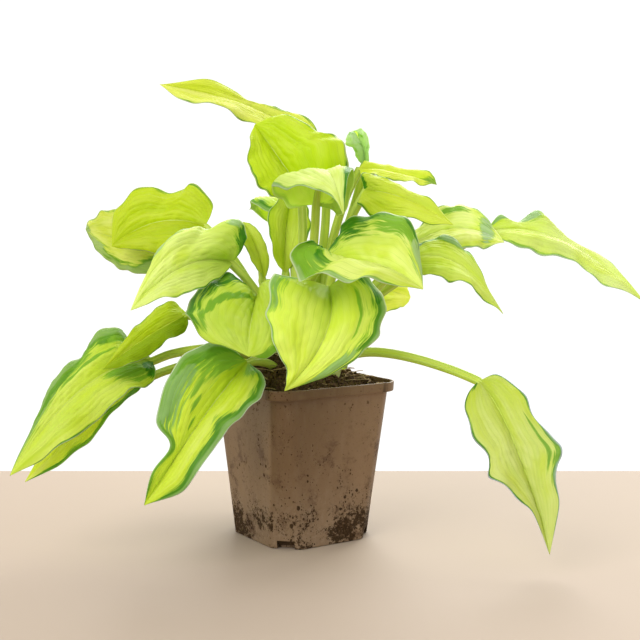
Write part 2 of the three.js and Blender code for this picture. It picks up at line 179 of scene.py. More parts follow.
@dataclass
class Shell:
    """A mesh in the making.

    Attributes:
        points: Points in millimetres, one a row.
        faces: Arrays of triangles or quads, as point numbers.
        uv: One UV pair a point.
        values: Named values, one a point, either numbers or vectors.
        finish: Which of the piece's materials the faces take.
    """

    points: Array
    faces: list[Array]
    uv: Array
    values: dict[str, Array] = field(default_factory=dict)
    finish: int = 0

    def volume(self) -> float:
        """Signed volume: a sixth of the sum of a . (b x c) over the fans of all faces.

        Returns:
            The volume, below zero where the faces point inwards.
        """
        total = 0.0
        for faces in self.faces:
            first = self.points[faces[:, 0]]
            for k in range(1, faces.shape[1] - 1):
                b, c = self.points[faces[:, k]], self.points[faces[:, k + 1]]
                total += float(np.sum(first * np.cross(b, c))) / 6
        return total

    def outward(self) -> "Shell":
        """The same shell with its faces pointing outwards."""
        if self.volume() < 0:
            self.faces = [faces[:, ::-1] for faces in self.faces]
        return self

    def turned(self, angle: float) -> "Shell":
        """The same shell turned about the vertical axis by an angle in radians."""
        self.points = spun(self.points, angle)
        return self

    def tell(self, key: str, value: float | Point) -> None:
        """Gives every point the same named value."""
        self.values[key] = np.full((len(self.points), *np.shape(value)), value)


def loft(rings: Array, uv: Array, ends: tuple[Array, Array] | None = None) -> Shell:
    """Closed shell over closed rings: quads between the rings and a fan on each end.

    Args:
        rings: Ring points, shape (rings, points, 3).
        uv: UV of each ring point, shape (rings, points, 2).
        ends: Centres of the two end fans, or None for the mean of each end ring.

    Returns:
        The shell, with its faces outwards.
    """
    rows, columns = rings.shape[:2]
    index = np.arange(rows * columns).reshape(rows, columns)
    after = np.roll(index, -1, axis=1)
    quads = np.stack([index[:-1], after[:-1], after[1:], index[1:]], axis=-1).reshape(-1, 4)
    centre = rows * columns
    head = np.stack([after[0], index[0], np.full(columns, centre)], axis=-1)
    tail = np.stack([index[-1], after[-1], np.full(columns, centre + 1)], axis=-1)
    points = spread(rings)
    if ends is not None:
        points[-2:] = ends
    return Shell(points, [quads, np.vstack([head, tail])], spread(uv)).outward()


def spread(rows: Array) -> Array:
    """Values of a loft's ring points made a flat list, with both end centres added."""
    flat = rows.reshape(-1, *rows.shape[2:])
    return np.concatenate([flat, rows[0].mean(axis=0)[None], rows[-1].mean(axis=0)[None]])


def put(name: str, data: bpy.types.ID) -> bpy.types.Object:
    """Makes an object of a mesh, a light or a camera, and puts it into the scene.

    Args:
        name: The object's name.
        data: The mesh, light or camera.

    Returns:
        The new object.
    """
    thing = bpy.data.objects.new(name, data)
    bpy.context.scene.collection.objects.link(thing)
    return thing


def make_mesh(name: str, shells: list[Shell]) -> bpy.types.Mesh:
    """Joins shells into one smooth mesh in metres, with their UV pairs and named values.

    Args:
        name: The mesh's name.
        shells: Its closed shells; the first one says which values there are.

    Returns:
        The new mesh.
    """
    starts = np.cumsum([0] + [len(s.points) for s in shells])
    parts = [(faces + start, s.finish) for s, start in zip(shells, starts) for faces in s.faces]
    corner = np.concatenate([faces.ravel() for faces, _ in parts])
    size = np.concatenate([np.full(len(faces), faces.shape[1]) for faces, _ in parts])
    finish = np.concatenate([np.full(len(faces), number) for faces, number in parts])
    points = np.vstack([s.points for s in shells]) * MM
    mesh = bpy.data.meshes.new(name)
    mesh.vertices.add(len(points))
    mesh.loops.add(len(corner))
    mesh.polygons.add(len(size))
    mesh.vertices.foreach_set("co", points.ravel())
    mesh.loops.foreach_set("vertex_index", corner.astype(np.int32))
    mesh.polygons.foreach_set("loop_start", (np.cumsum(size) - size).astype(np.int32))
    mesh.polygons.foreach_set("material_index", finish.astype(np.int32))
    uv = np.vstack([s.uv for s in shells])
    mesh.uv_layers.new(name="surface").data.foreach_set("uv", uv[corner].ravel().astype(np.float32))
    for key, sample in shells[0].values.items():
        blanks = [np.zeros((len(s.points), *sample.shape[1:])) for s in shells]
        whole = np.concatenate([s.values.get(key, blank) for s, blank in zip(shells, blanks)])
        kind, entry = ("FLOAT", "value") if whole.ndim == 1 else ("FLOAT_VECTOR", "vector")
        layer = mesh.attributes.new(key, kind, "POINT")
        layer.data.foreach_set(entry, whole.ravel().astype(np.float32))
    mesh.update(calc_edges=True)
    mesh.shade_smooth()
    return mesh


def make_piece(
    name: str, shells: list[Shell], finishes: list[bpy.types.Material],
    node: str | None = None, crease: float | None = None,
) -> bpy.types.Object:
    """Makes one piece of shells, which rides on the body.

    Args:
        name: The piece's name.
        shells: Its closed shells.
        finishes: Its materials, in the order that the shells' finish numbers mean.
        node: The CAD node that the piece stands for, if any.
        crease: Angle in degrees past which an edge is sharp, or None for all smooth.

    Returns:
        The new object.
    """
    mesh = make_mesh(name, shells)
    if crease is not None:
        mesh.set_sharp_from_angle(angle=math.radians(crease))
    for material in finishes:
        mesh.materials.append(material)
    piece = put(name, mesh)
    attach(piece, ROOT_BODY)
    if node is not None:
        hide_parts(node)
    triangles = len(mesh.loops) - 2 * len(mesh.polygons)
    LOG.info("%s: %d triangles, stands for %s", name, triangles, node or "nothing")
    return piece


# ---------------------------------------------------------------- node graphs


@dataclass(frozen=True)
class Flow:
    """A value that nodes work out, which adds, subtracts and multiplies as a number does."""

    graph: "Graph"
    socket: Socket

    def __add__(self, other: "Value") -> "Flow":
        """Sum."""
        return self.graph.maths("ADD", self, other)

    def __sub__(self, other: "Value") -> "Flow":
        """Difference."""
        return self.graph.maths("SUBTRACT", self, other)

    def __rsub__(self, other: float) -> "Flow":
        """A number less this value."""
        return self.graph.maths("SUBTRACT", other, self)

    def __mul__(self, other: "Value") -> "Flow":
        """Product."""
        return self.graph.maths("MULTIPLY", self, other)

    def twin(self, output: str | int) -> "Flow":
        """Another output of the same node, by name or number."""
        return Flow(self.graph, self.socket.node.outputs[output])


Value = Flow | float | tuple[float, ...]


@dataclass
class Graph:
    """A material's node tree, with one method for each kind of node that the finishes use."""

    name: str
    material: bpy.types.Material = field(init=False)

    def __post_init__(self) -> None:
        """Makes the material with an empty tree."""
        self.material = bpy.data.materials.new(self.name)
        self.material.use_nodes = True
        self.material.node_tree.nodes.clear()

    def add(
        self, kind: str, inputs: dict[str | int, Value], output: str | int = 0, **settings: str,
    ) -> Flow:
        """Adds a node, and links or sets its inputs.

        Args:
            kind: Blender's name of the node, without its prefix.
            inputs: What goes into it, by the input's name or number.
            output: Name or number of the output that is wanted.
            settings: The node's own properties.

        Returns:
            The wanted output.
        """
        node = self.material.node_tree.nodes.new("ShaderNode" + kind)
        for key, setting in settings.items():
            setattr(node, key, setting)
        for key, value in inputs.items():
            socket = node.inputs[key]
            if isinstance(value, Flow):
                self.material.node_tree.links.new(value.socket, socket)
            elif isinstance(value, tuple) and len(socket.default_value) == 4:
                socket.default_value = (*value, 1.0)
            else:
                socket.default_value = value
        return Flow(self, node.outputs[output])

    def maths(self, operation: str, a: Value, b: Value = 0.0) -> Flow:
        """One sum, product or other operation of two values, by Blender's name for it."""
        return self.add("Math", {0: a, 1: b}, operation=operation)

    def step(self, value: Value, low: float, high: float, top: float = 1.0) -> Flow:
        """Smooth step of a value.

        Args:
            value: The value.
            low: Where the step is 0; it may lie above the other end, and then the step falls.
            high: Where the step is top.
            top: The highest result.

        Returns:
            The stepped value.
        """
        limits = {"Value": value, "From Min": low, "From Max": high, "To Min": 0.0, "To Max": top}
        return self.add("MapRange", limits, "Result", interpolation_type="SMOOTHSTEP")

    def mix(self, share: Value, a: Value, b: Value, blend: str = "MIX") -> Flow:
        """Blends two colours.

        Args:
            share: How much of the second colour shows.
            a: First colour.
            b: Second colour.
            blend: Blender's name of the blend.

        Returns:
            The blended colour.
        """
        return self.add("Mix", {0: share, 6: a, 7: b}, 2, data_type="RGBA", blend_type=blend)

    def coat(self, base: Value, *coats: tuple[Value, Value]) -> Flow:
        """Lays coats over a base colour, one after the other.

        Args:
            base: The base colour.
            coats: How much of each coat shows, and its colour.

        Returns:
            The finished colour.
        """
        for share, colour in coats:
            base = self.mix(share, base, colour)
        return base

    def join(self, x: Value, y: Value, z: Value) -> Flow:
        """A vector of three values."""
        return self.add("CombineXYZ", {0: x, 1: y, 2: z})

    def parts(self, vector: Flow) -> tuple[Flow, ...]:
        """The three values of a vector."""
        first = self.add("SeparateXYZ", {0: vector})
        return first, first.twin(1), first.twin(2)

    def scaled(self, vector: Flow, scale: Point) -> Flow:
        """A vector stretched along its axes."""
        return self.add("Mapping", {"Vector": vector, "Scale": scale})

    def noise(self, vector: Flow, scale: float, detail: float, roughness: float = 0.5) -> Flow:
        """Noise texture, about 0.5 in the middle.

        Args:
            vector: Where it is read.
            scale: Features per unit of the vector.
            detail: Octaves.
            roughness: Weight of the finer octaves.

        Returns:
            The noise value.
        """
        inputs = {"Vector": vector, "Scale": scale, "Detail": detail, "Roughness": roughness}
        return self.add("TexNoise", inputs)

    def cells(self, vector: Flow, scale: float) -> tuple[Flow, Flow]:
        """Distance to the nearest of many scattered points, and a random value for each.

        Args:
            vector: Where it is read.
            scale: Points per unit of the vector.

        Returns:
            The distance and the random value.
        """
        distance = self.add("TexVoronoi", {"Vector": vector, "Scale": scale}, "Distance")
        return distance, self.parts(distance.twin("Color"))[0]

    def own(self, name: str, output: str = "Fac") -> Flow:
        """One of the piece's own named values, as a number, a Vector or a Color."""
        return self.add("Attribute", {}, output, attribute_name=name)

    def place(self) -> Flow:
        """The point in the object's own metres."""
        return self.add("TexCoord", {}, "Object")

    def surface(self) -> tuple[Flow, ...]:
        """The two values of the piece's own UV map, and a zero."""
        return self.parts(self.add("UVMap", {}, uv_map="surface"))

    def bump(self, height: Flow, strength: float, distance: float) -> Flow:
        """Fine relief.

        Args:
            height: The relief, 0 to 1.
            strength: How much of it shows.
            distance: Its depth in metres.

        Returns:
            The bent normal.
        """
        return self.add("Bump", {"Height": height, "Strength": strength, "Distance": distance})

    def shader(self, **inputs: Value) -> Flow:
        """A Principled shader; underscores in the input names stand for spaces."""
        return self.add("BsdfPrincipled", {k.replace("_", " "): v for k, v in inputs.items()})

    def through(self, share: float, solid: Flow, colour: Flow, normal: Flow) -> Flow:
        """A shader that also lets light through.

        Args:
            share: How much of the light passes through.
            solid: The surface's own shader.
            colour: Colour of the light that passes.
            normal: The surface's normal.

        Returns:
            The mixed shader.
        """
        glow = self.add("BsdfTranslucent", {"Color": colour, "Normal": normal})
        return self.add("MixShader", {0: share, 1: solid, 2: glow})

    def close(self, shader: Flow) -> bpy.types.Material:
        """Links the shader to the output.

        Args:
            shader: The finished shader.

        Returns:
            The material.
        """
        tree = self.material.node_tree
        tree.links.new(shader.socket, tree.nodes.new("ShaderNodeOutputMaterial").inputs["Surface"])
        return self.material


@dataclass(frozen=True)
class Grain:
    """A noise drawn out along a leaf: features across and along it, octaves and their weight."""

    across: float
    along: float
    detail: float
    roughness: float = 0.5

    def read(self, g: Graph, across: Flow, along: Flow, seed: Flow) -> Flow:
        """Reads the noise.

        Args:
            g: The material's graph.
            across: Place across the leaf.
            along: Place along it.
            seed: Sets the leaf's noise apart from the others'.

        Returns:
            The noise value.
        """
        where = g.join(across * self.across, along * self.along, seed)
        return g.noise(where, 1.0, self.detail, self.roughness)


# ---------------------------------------------------------------- finishes


@dataclass(frozen=True)
class BladeFinish:
    """Hosta blade: yellow-green between dark and frosted green margins that feather along veins, with
    painted glow, sheen, shade and edge highlights.
    """

    lime: Colour = (0.70, 0.80, 0.080)
    # Painted glow: the saturated yellow-green of light shining through the blade.
    glow: Colour = (0.62, 0.79, 0.006)
    # Painted sheen; it also lightens random bands and streaks.
    sheen: Colour = (0.84, 0.90, 0.30)
    # Painted shade: the olive of the blade's shaded parts.
    dusk: Colour = (0.26, 0.43, 0.012)
    vein: Colour = (0.42, 0.60, 0.03)
    half: Colour = (0.34, 0.57, 0.03)
    light_green: Colour = (0.25, 0.49, 0.03)
    dark_green: Colour = (0.055, 0.25, 0.008)
    frost: Colour = (0.26, 0.46, 0.10)
    bloom: Colour = (0.46, 0.62, 0.27)
    # Painted highlight along the margin's very edge.
    rim: Colour = (0.70, 0.77, 0.52)
    # The lower face's own colour, made brighter as painted light.
    underside_and_painted_light: Colour = (0.74, 0.90, 0.12)
    streaks: Grain = Grain(44.0, 6.5, 3.0, 0.62)
    bands: Grain = Grain(9.0, 2.2, 1.5)
    clouds: Grain = Grain(5.0, 4.0, 2.0)
    patches: Grain = Grain(14.0, 4.5, 2.0, 0.6)
    veins: float = 8.0
    fine_veins: float = 32.0
    through: float = 0.44
    relief: float = 0.00035

    def build(self) -> bpy.types.Material:
        """Builds the material from the blade's UV map and its own values.

        Returns:
            The material.
        """
        g = Graph("hosta_blade")
        across, along, _ = g.surface()
        green, frost, depth = g.parts(g.own("marks", "Vector"))
        glow, pale, under = g.parts(g.own("tones", "Vector"))
        dusk, seed = g.own("dusk"), g.own("seed")
        side = g.maths("ABSOLUTE", across * 2.0 - 1.0)
        grains = (self.streaks, self.bands, self.clouds, self.patches)
        wide = across * g.own("span")
        streaks, bands, clouds, patches = (grain.read(g, wide, along, seed) for grain in grains)
        furrow = g.step(g.maths("PINGPONG", side * self.veins, 0.5), 0.0, 0.15)
        fine = g.step(g.maths("PINGPONG", side * self.fine_veins, 0.5), 0.0, 0.4)
        feather = (streaks - 0.5) * 0.95 + (patches - 0.5) * 0.40
        body = g.coat(
            # Painted backlit glow, strongest at the joint.
            g.mix(glow, self.lime, self.glow),
            # Painted pale sheen, mottled by clouds.
            (pale * g.step(clouds, 0.30, 0.62), self.sheen),
            (g.step(bands, 0.44, 0.70, 0.22), self.sheen),
            (0.15 - g.step(bands, 0.30, 0.52, 0.15), self.half),
            (g.step(streaks, 0.45, 0.75, 0.10), self.sheen),
            # Painted shade: olive round the joint and over shaded halves.
            (dusk, self.dusk),
            ((1.0 - furrow) * g.step(clouds, 0.35, 0.65, 0.22), self.vein),
            ((1.0 - fine) * 0.07, self.vein),
            (g.step(green + feather * 1.5, 0.30, 0.50, 0.80), self.half),
        )
        shade = depth * 0.35 + depth * g.step(patches + streaks * 0.5, 0.52, 0.80) * 0.65
        margin = g.coat(
            g.mix(shade, self.light_green, self.dark_green),
            # Frosted green, made paler by the painted sheen.
            (frost * g.step(patches + frost * 0.20, 0.45, 0.70), g.mix(pale, self.frost, self.bloom)),
            (g.step(streaks, 0.48, 0.8, 0.45), self.half),
        )
        colour = g.coat(
            body,
            (g.step(green + feather, 0.46, 0.57), margin),
            # Painted highlight: a pale line along the margin's edge.
            (g.step(side, 0.968, 0.988) * g.step(green, 0.40, 0.6, 0.8), self.rim),
            # The lower face: its own colour, brightened as painted light.
            (under * 0.62, self.underside_and_painted_light),
        )
        # Each leaf's own tint, and painted light that makes it brighter or darker than the others.
        colour = g.mix(1.0, colour, g.own("cast", "Color"), "MULTIPLY")
        light = g.mix(0.45, colour, g.mix(1.0, colour, self.glow, "MULTIPLY"))
        height = (furrow * 0.6 + fine * 0.16 + clouds * 0.3) * g.own("room")
        normal = g.bump(height, 0.35, self.relief)
        solid = g.shader(
            Base_Color=colour, Roughness=clouds * 0.14 + 0.36, Normal=normal,
            # Less specular where the painted shade is.
            Specular_IOR_Level=0.22 - dusk * 0.20,
        )
        return g.close(g.through(self.through, solid, light, normal))


@dataclass(frozen=True)
class PetioleFinish:
    """Petiole: pale olive green, creamy at the foot, striped lengthwise, with greener lips."""

    stem: Colour = (0.50, 0.62, 0.06)
    foot: Colour = (0.56, 0.60, 0.26)
    lips: Colour = (0.24, 0.39, 0.02)
    stripes: Colour = (0.62, 0.72, 0.18)
    grain: Grain = Grain(16.0, 1.5, 3.0)
    mottle: Grain = Grain(3.0, 7.0, 2.0)
    through: float = 0.18
    relief: float = 0.0002

    def build(self) -> bpy.types.Material:
        """Builds the material: the UV map runs round the stem and along it.

        Returns:
            The material.
        """
        g = Graph("hosta_petiole")
        around, along, _ = g.surface()
        lip, _, _ = g.parts(g.own("marks", "Vector"))
        grain, mottle = (n.read(g, around, along, g.own("seed")) for n in (self.grain, self.mottle))
        colour = g.coat(
            self.stem,
            (g.step(grain, 0.35, 0.7, 0.6), self.stripes),
            (g.step(mottle, 0.4, 0.7, 0.25), self.lips),
            (g.step(along, 0.3, 0.0), self.foot),
            (lip * 0.75, self.lips),
        )
        # Painted light: the petiole brighter or darker than the others.
        colour = g.mix(1.0, colour, g.own("cast", "Color"), "MULTIPLY")
        normal = g.bump(grain, 0.25, self.relief)
        solid = g.shader(Base_Color=colour, Roughness=0.42, Normal=normal, Specular_IOR_Level=0.3)
        return g.close(g.through(self.through, solid, colour, normal))


@dataclass(frozen=True)
class PotFinish:
    """Moulded pot: matte taupe plastic, dusty, splashed with soil and caked round the foot, with painted
    light and shade on its front wall.
    """

    plastic: Colour = (0.205, 0.126, 0.064)
    # Painted light: the front wall's plastic where it is lit.
    painted_light_plastic: Colour = (0.240, 0.147, 0.078)
    # Darker plastic: painted shade on the front wall and the rim, and dark mottles and grit.
    shade_and_mottle: Colour = (0.105, 0.056, 0.020)
    dust: Colour = (0.30, 0.225, 0.150)
    soil: Colour = (0.024, 0.012, 0.004)
    crumb: Colour = (0.056, 0.031, 0.012)
    smear: Colour = (0.095, 0.048, 0.020)
    widening: float = 0.109
    relief: float = 0.0004

    def build(self) -> bpy.types.Material:
        """Builds the material on the pot's own metres, with more soil towards the foot.

        The front is the wall on the side of negative y; painted shade darkens it towards negative x, and
        painted light lightens it towards positive x.

        Returns:
            The material.
        """
        g = Graph("pot_plastic")
        place = g.place()
        x, y, height = g.parts(place)
        low, foot = g.step(height, 0.05, 0.0), g.step(height, 0.032, 0.008)
        front = g.step(0.0 - y - height * self.widening, 0.0215, 0.0240)
        away = g.step(x, -0.036, 0.036)
        # Painted shade: where the front wall turns to its cut corner.
        shade_and_mottle = front * (1.0 - away)
        wiped = g.noise(g.scaled(place, (1.0, 1.0, 0.35)), 190.0, 4.0, 0.65)
        run = g.noise(g.scaled(place, (1.0, 1.0, 0.08)), 150.0, 2.0)
        grit = g.noise(place, 900.0, 4.0, 0.7)
        smudge = g.step(g.noise(place, 75.0, 6.0, 0.80), 0.505, 0.63, 0.80)
        mottle = g.step(g.noise(place, 430.0, 3.0, 0.7), 0.52, 0.66)
        dirt = g.maths("MAXIMUM", self.splashes(g, place, low), self.caked(g, place, foot, shade_and_mottle))
        colour = g.coat(
            # Painted light on the front wall's far side.
            g.mix(front * away, self.plastic, self.painted_light_plastic),
            # Painted shade on the front wall by its cut corner.
            (shade_and_mottle * g.step(height, -0.02, 0.07, 0.78), self.shade_and_mottle),
            # Dark mottles at random.
            (g.step(g.noise(place, 22.0, 3.0, 0.55), 0.42, 0.66, 0.22), self.shade_and_mottle),
            # The rim darker, and more so where the front wall has painted shade.
            (g.step(height, 0.0912, 0.0925, 0.75) * (shade_and_mottle * 0.8 + 0.2), self.shade_and_mottle),
            # Darker towards the foot on the other walls.
            ((1.0 - front) * foot * 0.45, self.shade_and_mottle),
            (g.step(wiped, 0.42, 0.72) * (low * 0.16 + 0.10) + low * 0.24, self.dust),
            (mottle * low * 0.34, self.dust),
            # Fine dark grit.
            (g.step(grit, 0.52, 0.75, 0.25), self.shade_and_mottle),
            (g.step(run, 0.63, 0.72, 0.7) * g.step(height, 0.078, 0.092), self.soil),
            (smudge * g.step(height, 0.085, 0.055), self.smear),
            (dirt * (g.step(height, 0.070, 0.030, 0.34) + 0.60),
             g.mix(g.step(grit, 0.45, 0.62), self.soil, self.crumb)),
        )
        return g.close(g.shader(
            Base_Color=colour, Roughness=dirt * 0.25 + 0.52, Specular_IOR_Level=0.34 - dirt * 0.26,
            Normal=g.bump(grit * 0.25 + dirt * 0.8, 0.45, self.relief),
        ))

    def caked(self, g: Graph, place: Flow, foot: Flow, shade_and_mottle: Flow) -> Flow:
        """Soil caked in crumbly heaps round the foot, less of it where the front wall has painted shade.

        Args:
            g: The material's graph.
            place: The point on the pot.
            foot: 1 at the foot and 0 above it.
            shade_and_mottle: 1 where the front wall has painted shade by its corner.

        Returns:
            How much soil covers the point, 0 to 1.
        """
        heaps = g.step(g.noise(place, 42.0, 2.0) + foot * 0.07, 0.45, 0.57)
        heaps = heaps * (1.0 - g.step(shade_and_mottle, 0.75, 1.0, 0.6))
        return g.step(g.noise(place, 480.0, 5.0, 0.8) + foot * heaps * 0.21, 0.61, 0.66)

    def splashes(self, g: Graph, place: Flow, low: Flow) -> Flow:
        """Soil specks in clusters: fine grit, and ragged splashes of differing sizes.

        Args:
            g: The material's graph.
            place: The point on the pot.
            low: 1 at the foot and 0 above it.

        Returns:
            How much soil covers the point, 0 to 1.
        """
        gather = g.maths("MINIMUM", g.noise(place, 38.0, 3.0, 0.6) * 0.60 + low * 0.09, 0.395)
        total = g.step(g.noise(place, 620.0, 4.0, 0.7) + gather, 0.98, 1.01)
        for scale, size in ((360.0, 0.48), (700.0, 0.50)):
            distance, pick = g.cells(g.scaled(place, (1.0, 1.0, 0.8)), scale)
            ragged = distance + g.noise(place, scale * 2.2, 4.0, 0.8) * 0.95
            radius = g.maths("POWER", pick, 5.0) * size + 0.235 + (gather - 0.33) * 2.2
            total = g.maths("MAXIMUM", total, g.step(ragged - radius, 0.17, 0.07))
        return total


@dataclass(frozen=True)
class SoilFinish:
    """Potting soil: dark damp peat, its crumbs and chips each of a slightly different brown."""

    name: str = "soil_peat"
    peat: Colour = (0.036, 0.021, 0.009)
    loam: Colour = (0.20, 0.118, 0.052)
    grain: float = 700.0
    relief: float = 0.0006

    def build(self) -> bpy.types.Material:
        """Builds the material on Object coordinates and each crumb's own shade.

        Returns:
            The material.
        """
        g = Graph(self.name)
        grit = g.noise(g.place(), self.grain, 5.0, 0.7)
        tone = g.step(g.noise(g.place(), 120.0, 4.0, 0.6), 0.35, 0.7) * 0.5 + g.own("shade") * 0.6
        colour = g.mix(tone * g.step(grit, 0.25, 0.7), self.peat, self.loam)
        return g.close(g.shader(
            Base_Color=colour, Roughness=0.92, Specular_IOR_Level=0.18,
            Normal=g.bump(grit, 0.6, self.relief),
        ))


# ---------------------------------------------------------------- leaves


class Mood(Enum):
    """How much painted backlit glow and painted pale sheen a leaf's colour has."""

    PLAIN = (0.25, 0.35)
    BACKLIT = (0.95, 0.05)
    SHEEN = (0.05, 0.95)
    SHADED = (0.55, 0.0)


class Tint(Enum):
    """Colour of a fleck: how dark and how frosted its green is. A clear one has no green."""

    LIGHT = (0.0, 0.0)
    DARK = (1.0, 0.0)
    FROST = (0.5, 1.0)
    CLEAR = (0.0, 0.5)


@dataclass(frozen=True)
class Streak:
    """A fleck of green along the veins.

    Attributes:
        side: Centre across the blade, -1 at the left margin to 1 at the right.
        place: Centre along the midrib, 0 at the joint to 1 at the tip.
        width: Half width across.
        length: Half length along.
        tint: Its colour.
        lean: How far it drifts across while it runs the whole blade along.
    """

    side: float
    place: float
    width: float
    length: float
    tint: Tint = Tint.DARK
    lean: float = 0.0

    def fleck(self, side: Array, place: Array) -> Array:
        """How green the fleck is: one half on its outline, an ellipse, and more inside it.

        Args:
            side: Side of each point.
            place: Place of each point.

        Returns:
            The green at each point.
        """
        along = place - self.place
        gap = np.hypot((side - self.side - self.lean * along) / self.width, along / self.length)
        return 0.5 + np.where(gap < 1, 0.42, 0.9) * (1 - gap)


@dataclass(frozen=True)
class Marks:
    """A blade's markings.

    Attributes:
        left: Width of the green margin on the left, as a share of the half blade.
        right: The same on the right.
        frost: Share of the left and right margins that is frosted, from the edge inwards.
        depth: How dark the rest of the left and right margins is.
        dusk: How much painted shade darkens the left and the right half to olive.
        heart: How much painted shade darkens the blade round its joint.
        fade: How far along the blade that painted shade reaches.
        cast: The blade's own tint, and painted light that makes it brighter or darker than the others, in
            red, green and blue.
        below: How much painted light brightens its lower face.
        stem: How much painted light brightens the petiole against the others.
        mood: How much painted glow and painted sheen it has.
        streaks: Further flecks.
    """

    left: float = 0.14
    right: float = 0.14
    frost: tuple[float, float] = (0.5, 0.5)
    depth: tuple[float, float] = (0.8, 0.8)
    dusk: tuple[float, float] = (0.0, 0.0)
    heart: float = 0.35
    fade: float = 0.26
    cast: Colour = (1.0, 1.0, 1.0)
    below: float = 1.0
    stem: float = 1.0
    mood: Mood = Mood.PLAIN
    streaks: tuple[Streak, ...] = ()


@dataclass(frozen=True)
class Form:
    """The points that set a leaf's shape, in the plant's own frame.

    Attributes:
        name: Its node's name.
        root: Where its petiole stands in the soil.
        rib: Joint, middle and tip of the midrib.
        left: The left margin's own points from joint to tip, as seen along the midrib from above.
        right: The same for the right margin.
        wave: Height of the margins' waves.
        arrive: Direction in which the petiole meets the joint, or None to follow the midrib.
    """

    name: str
    root: tuple[float, float]
    rib: tuple[Point, Point, Point]
    left: tuple[Point, ...]
    right: tuple[Point, ...]
    wave: float = 1.8
    arrive: Point | None = None


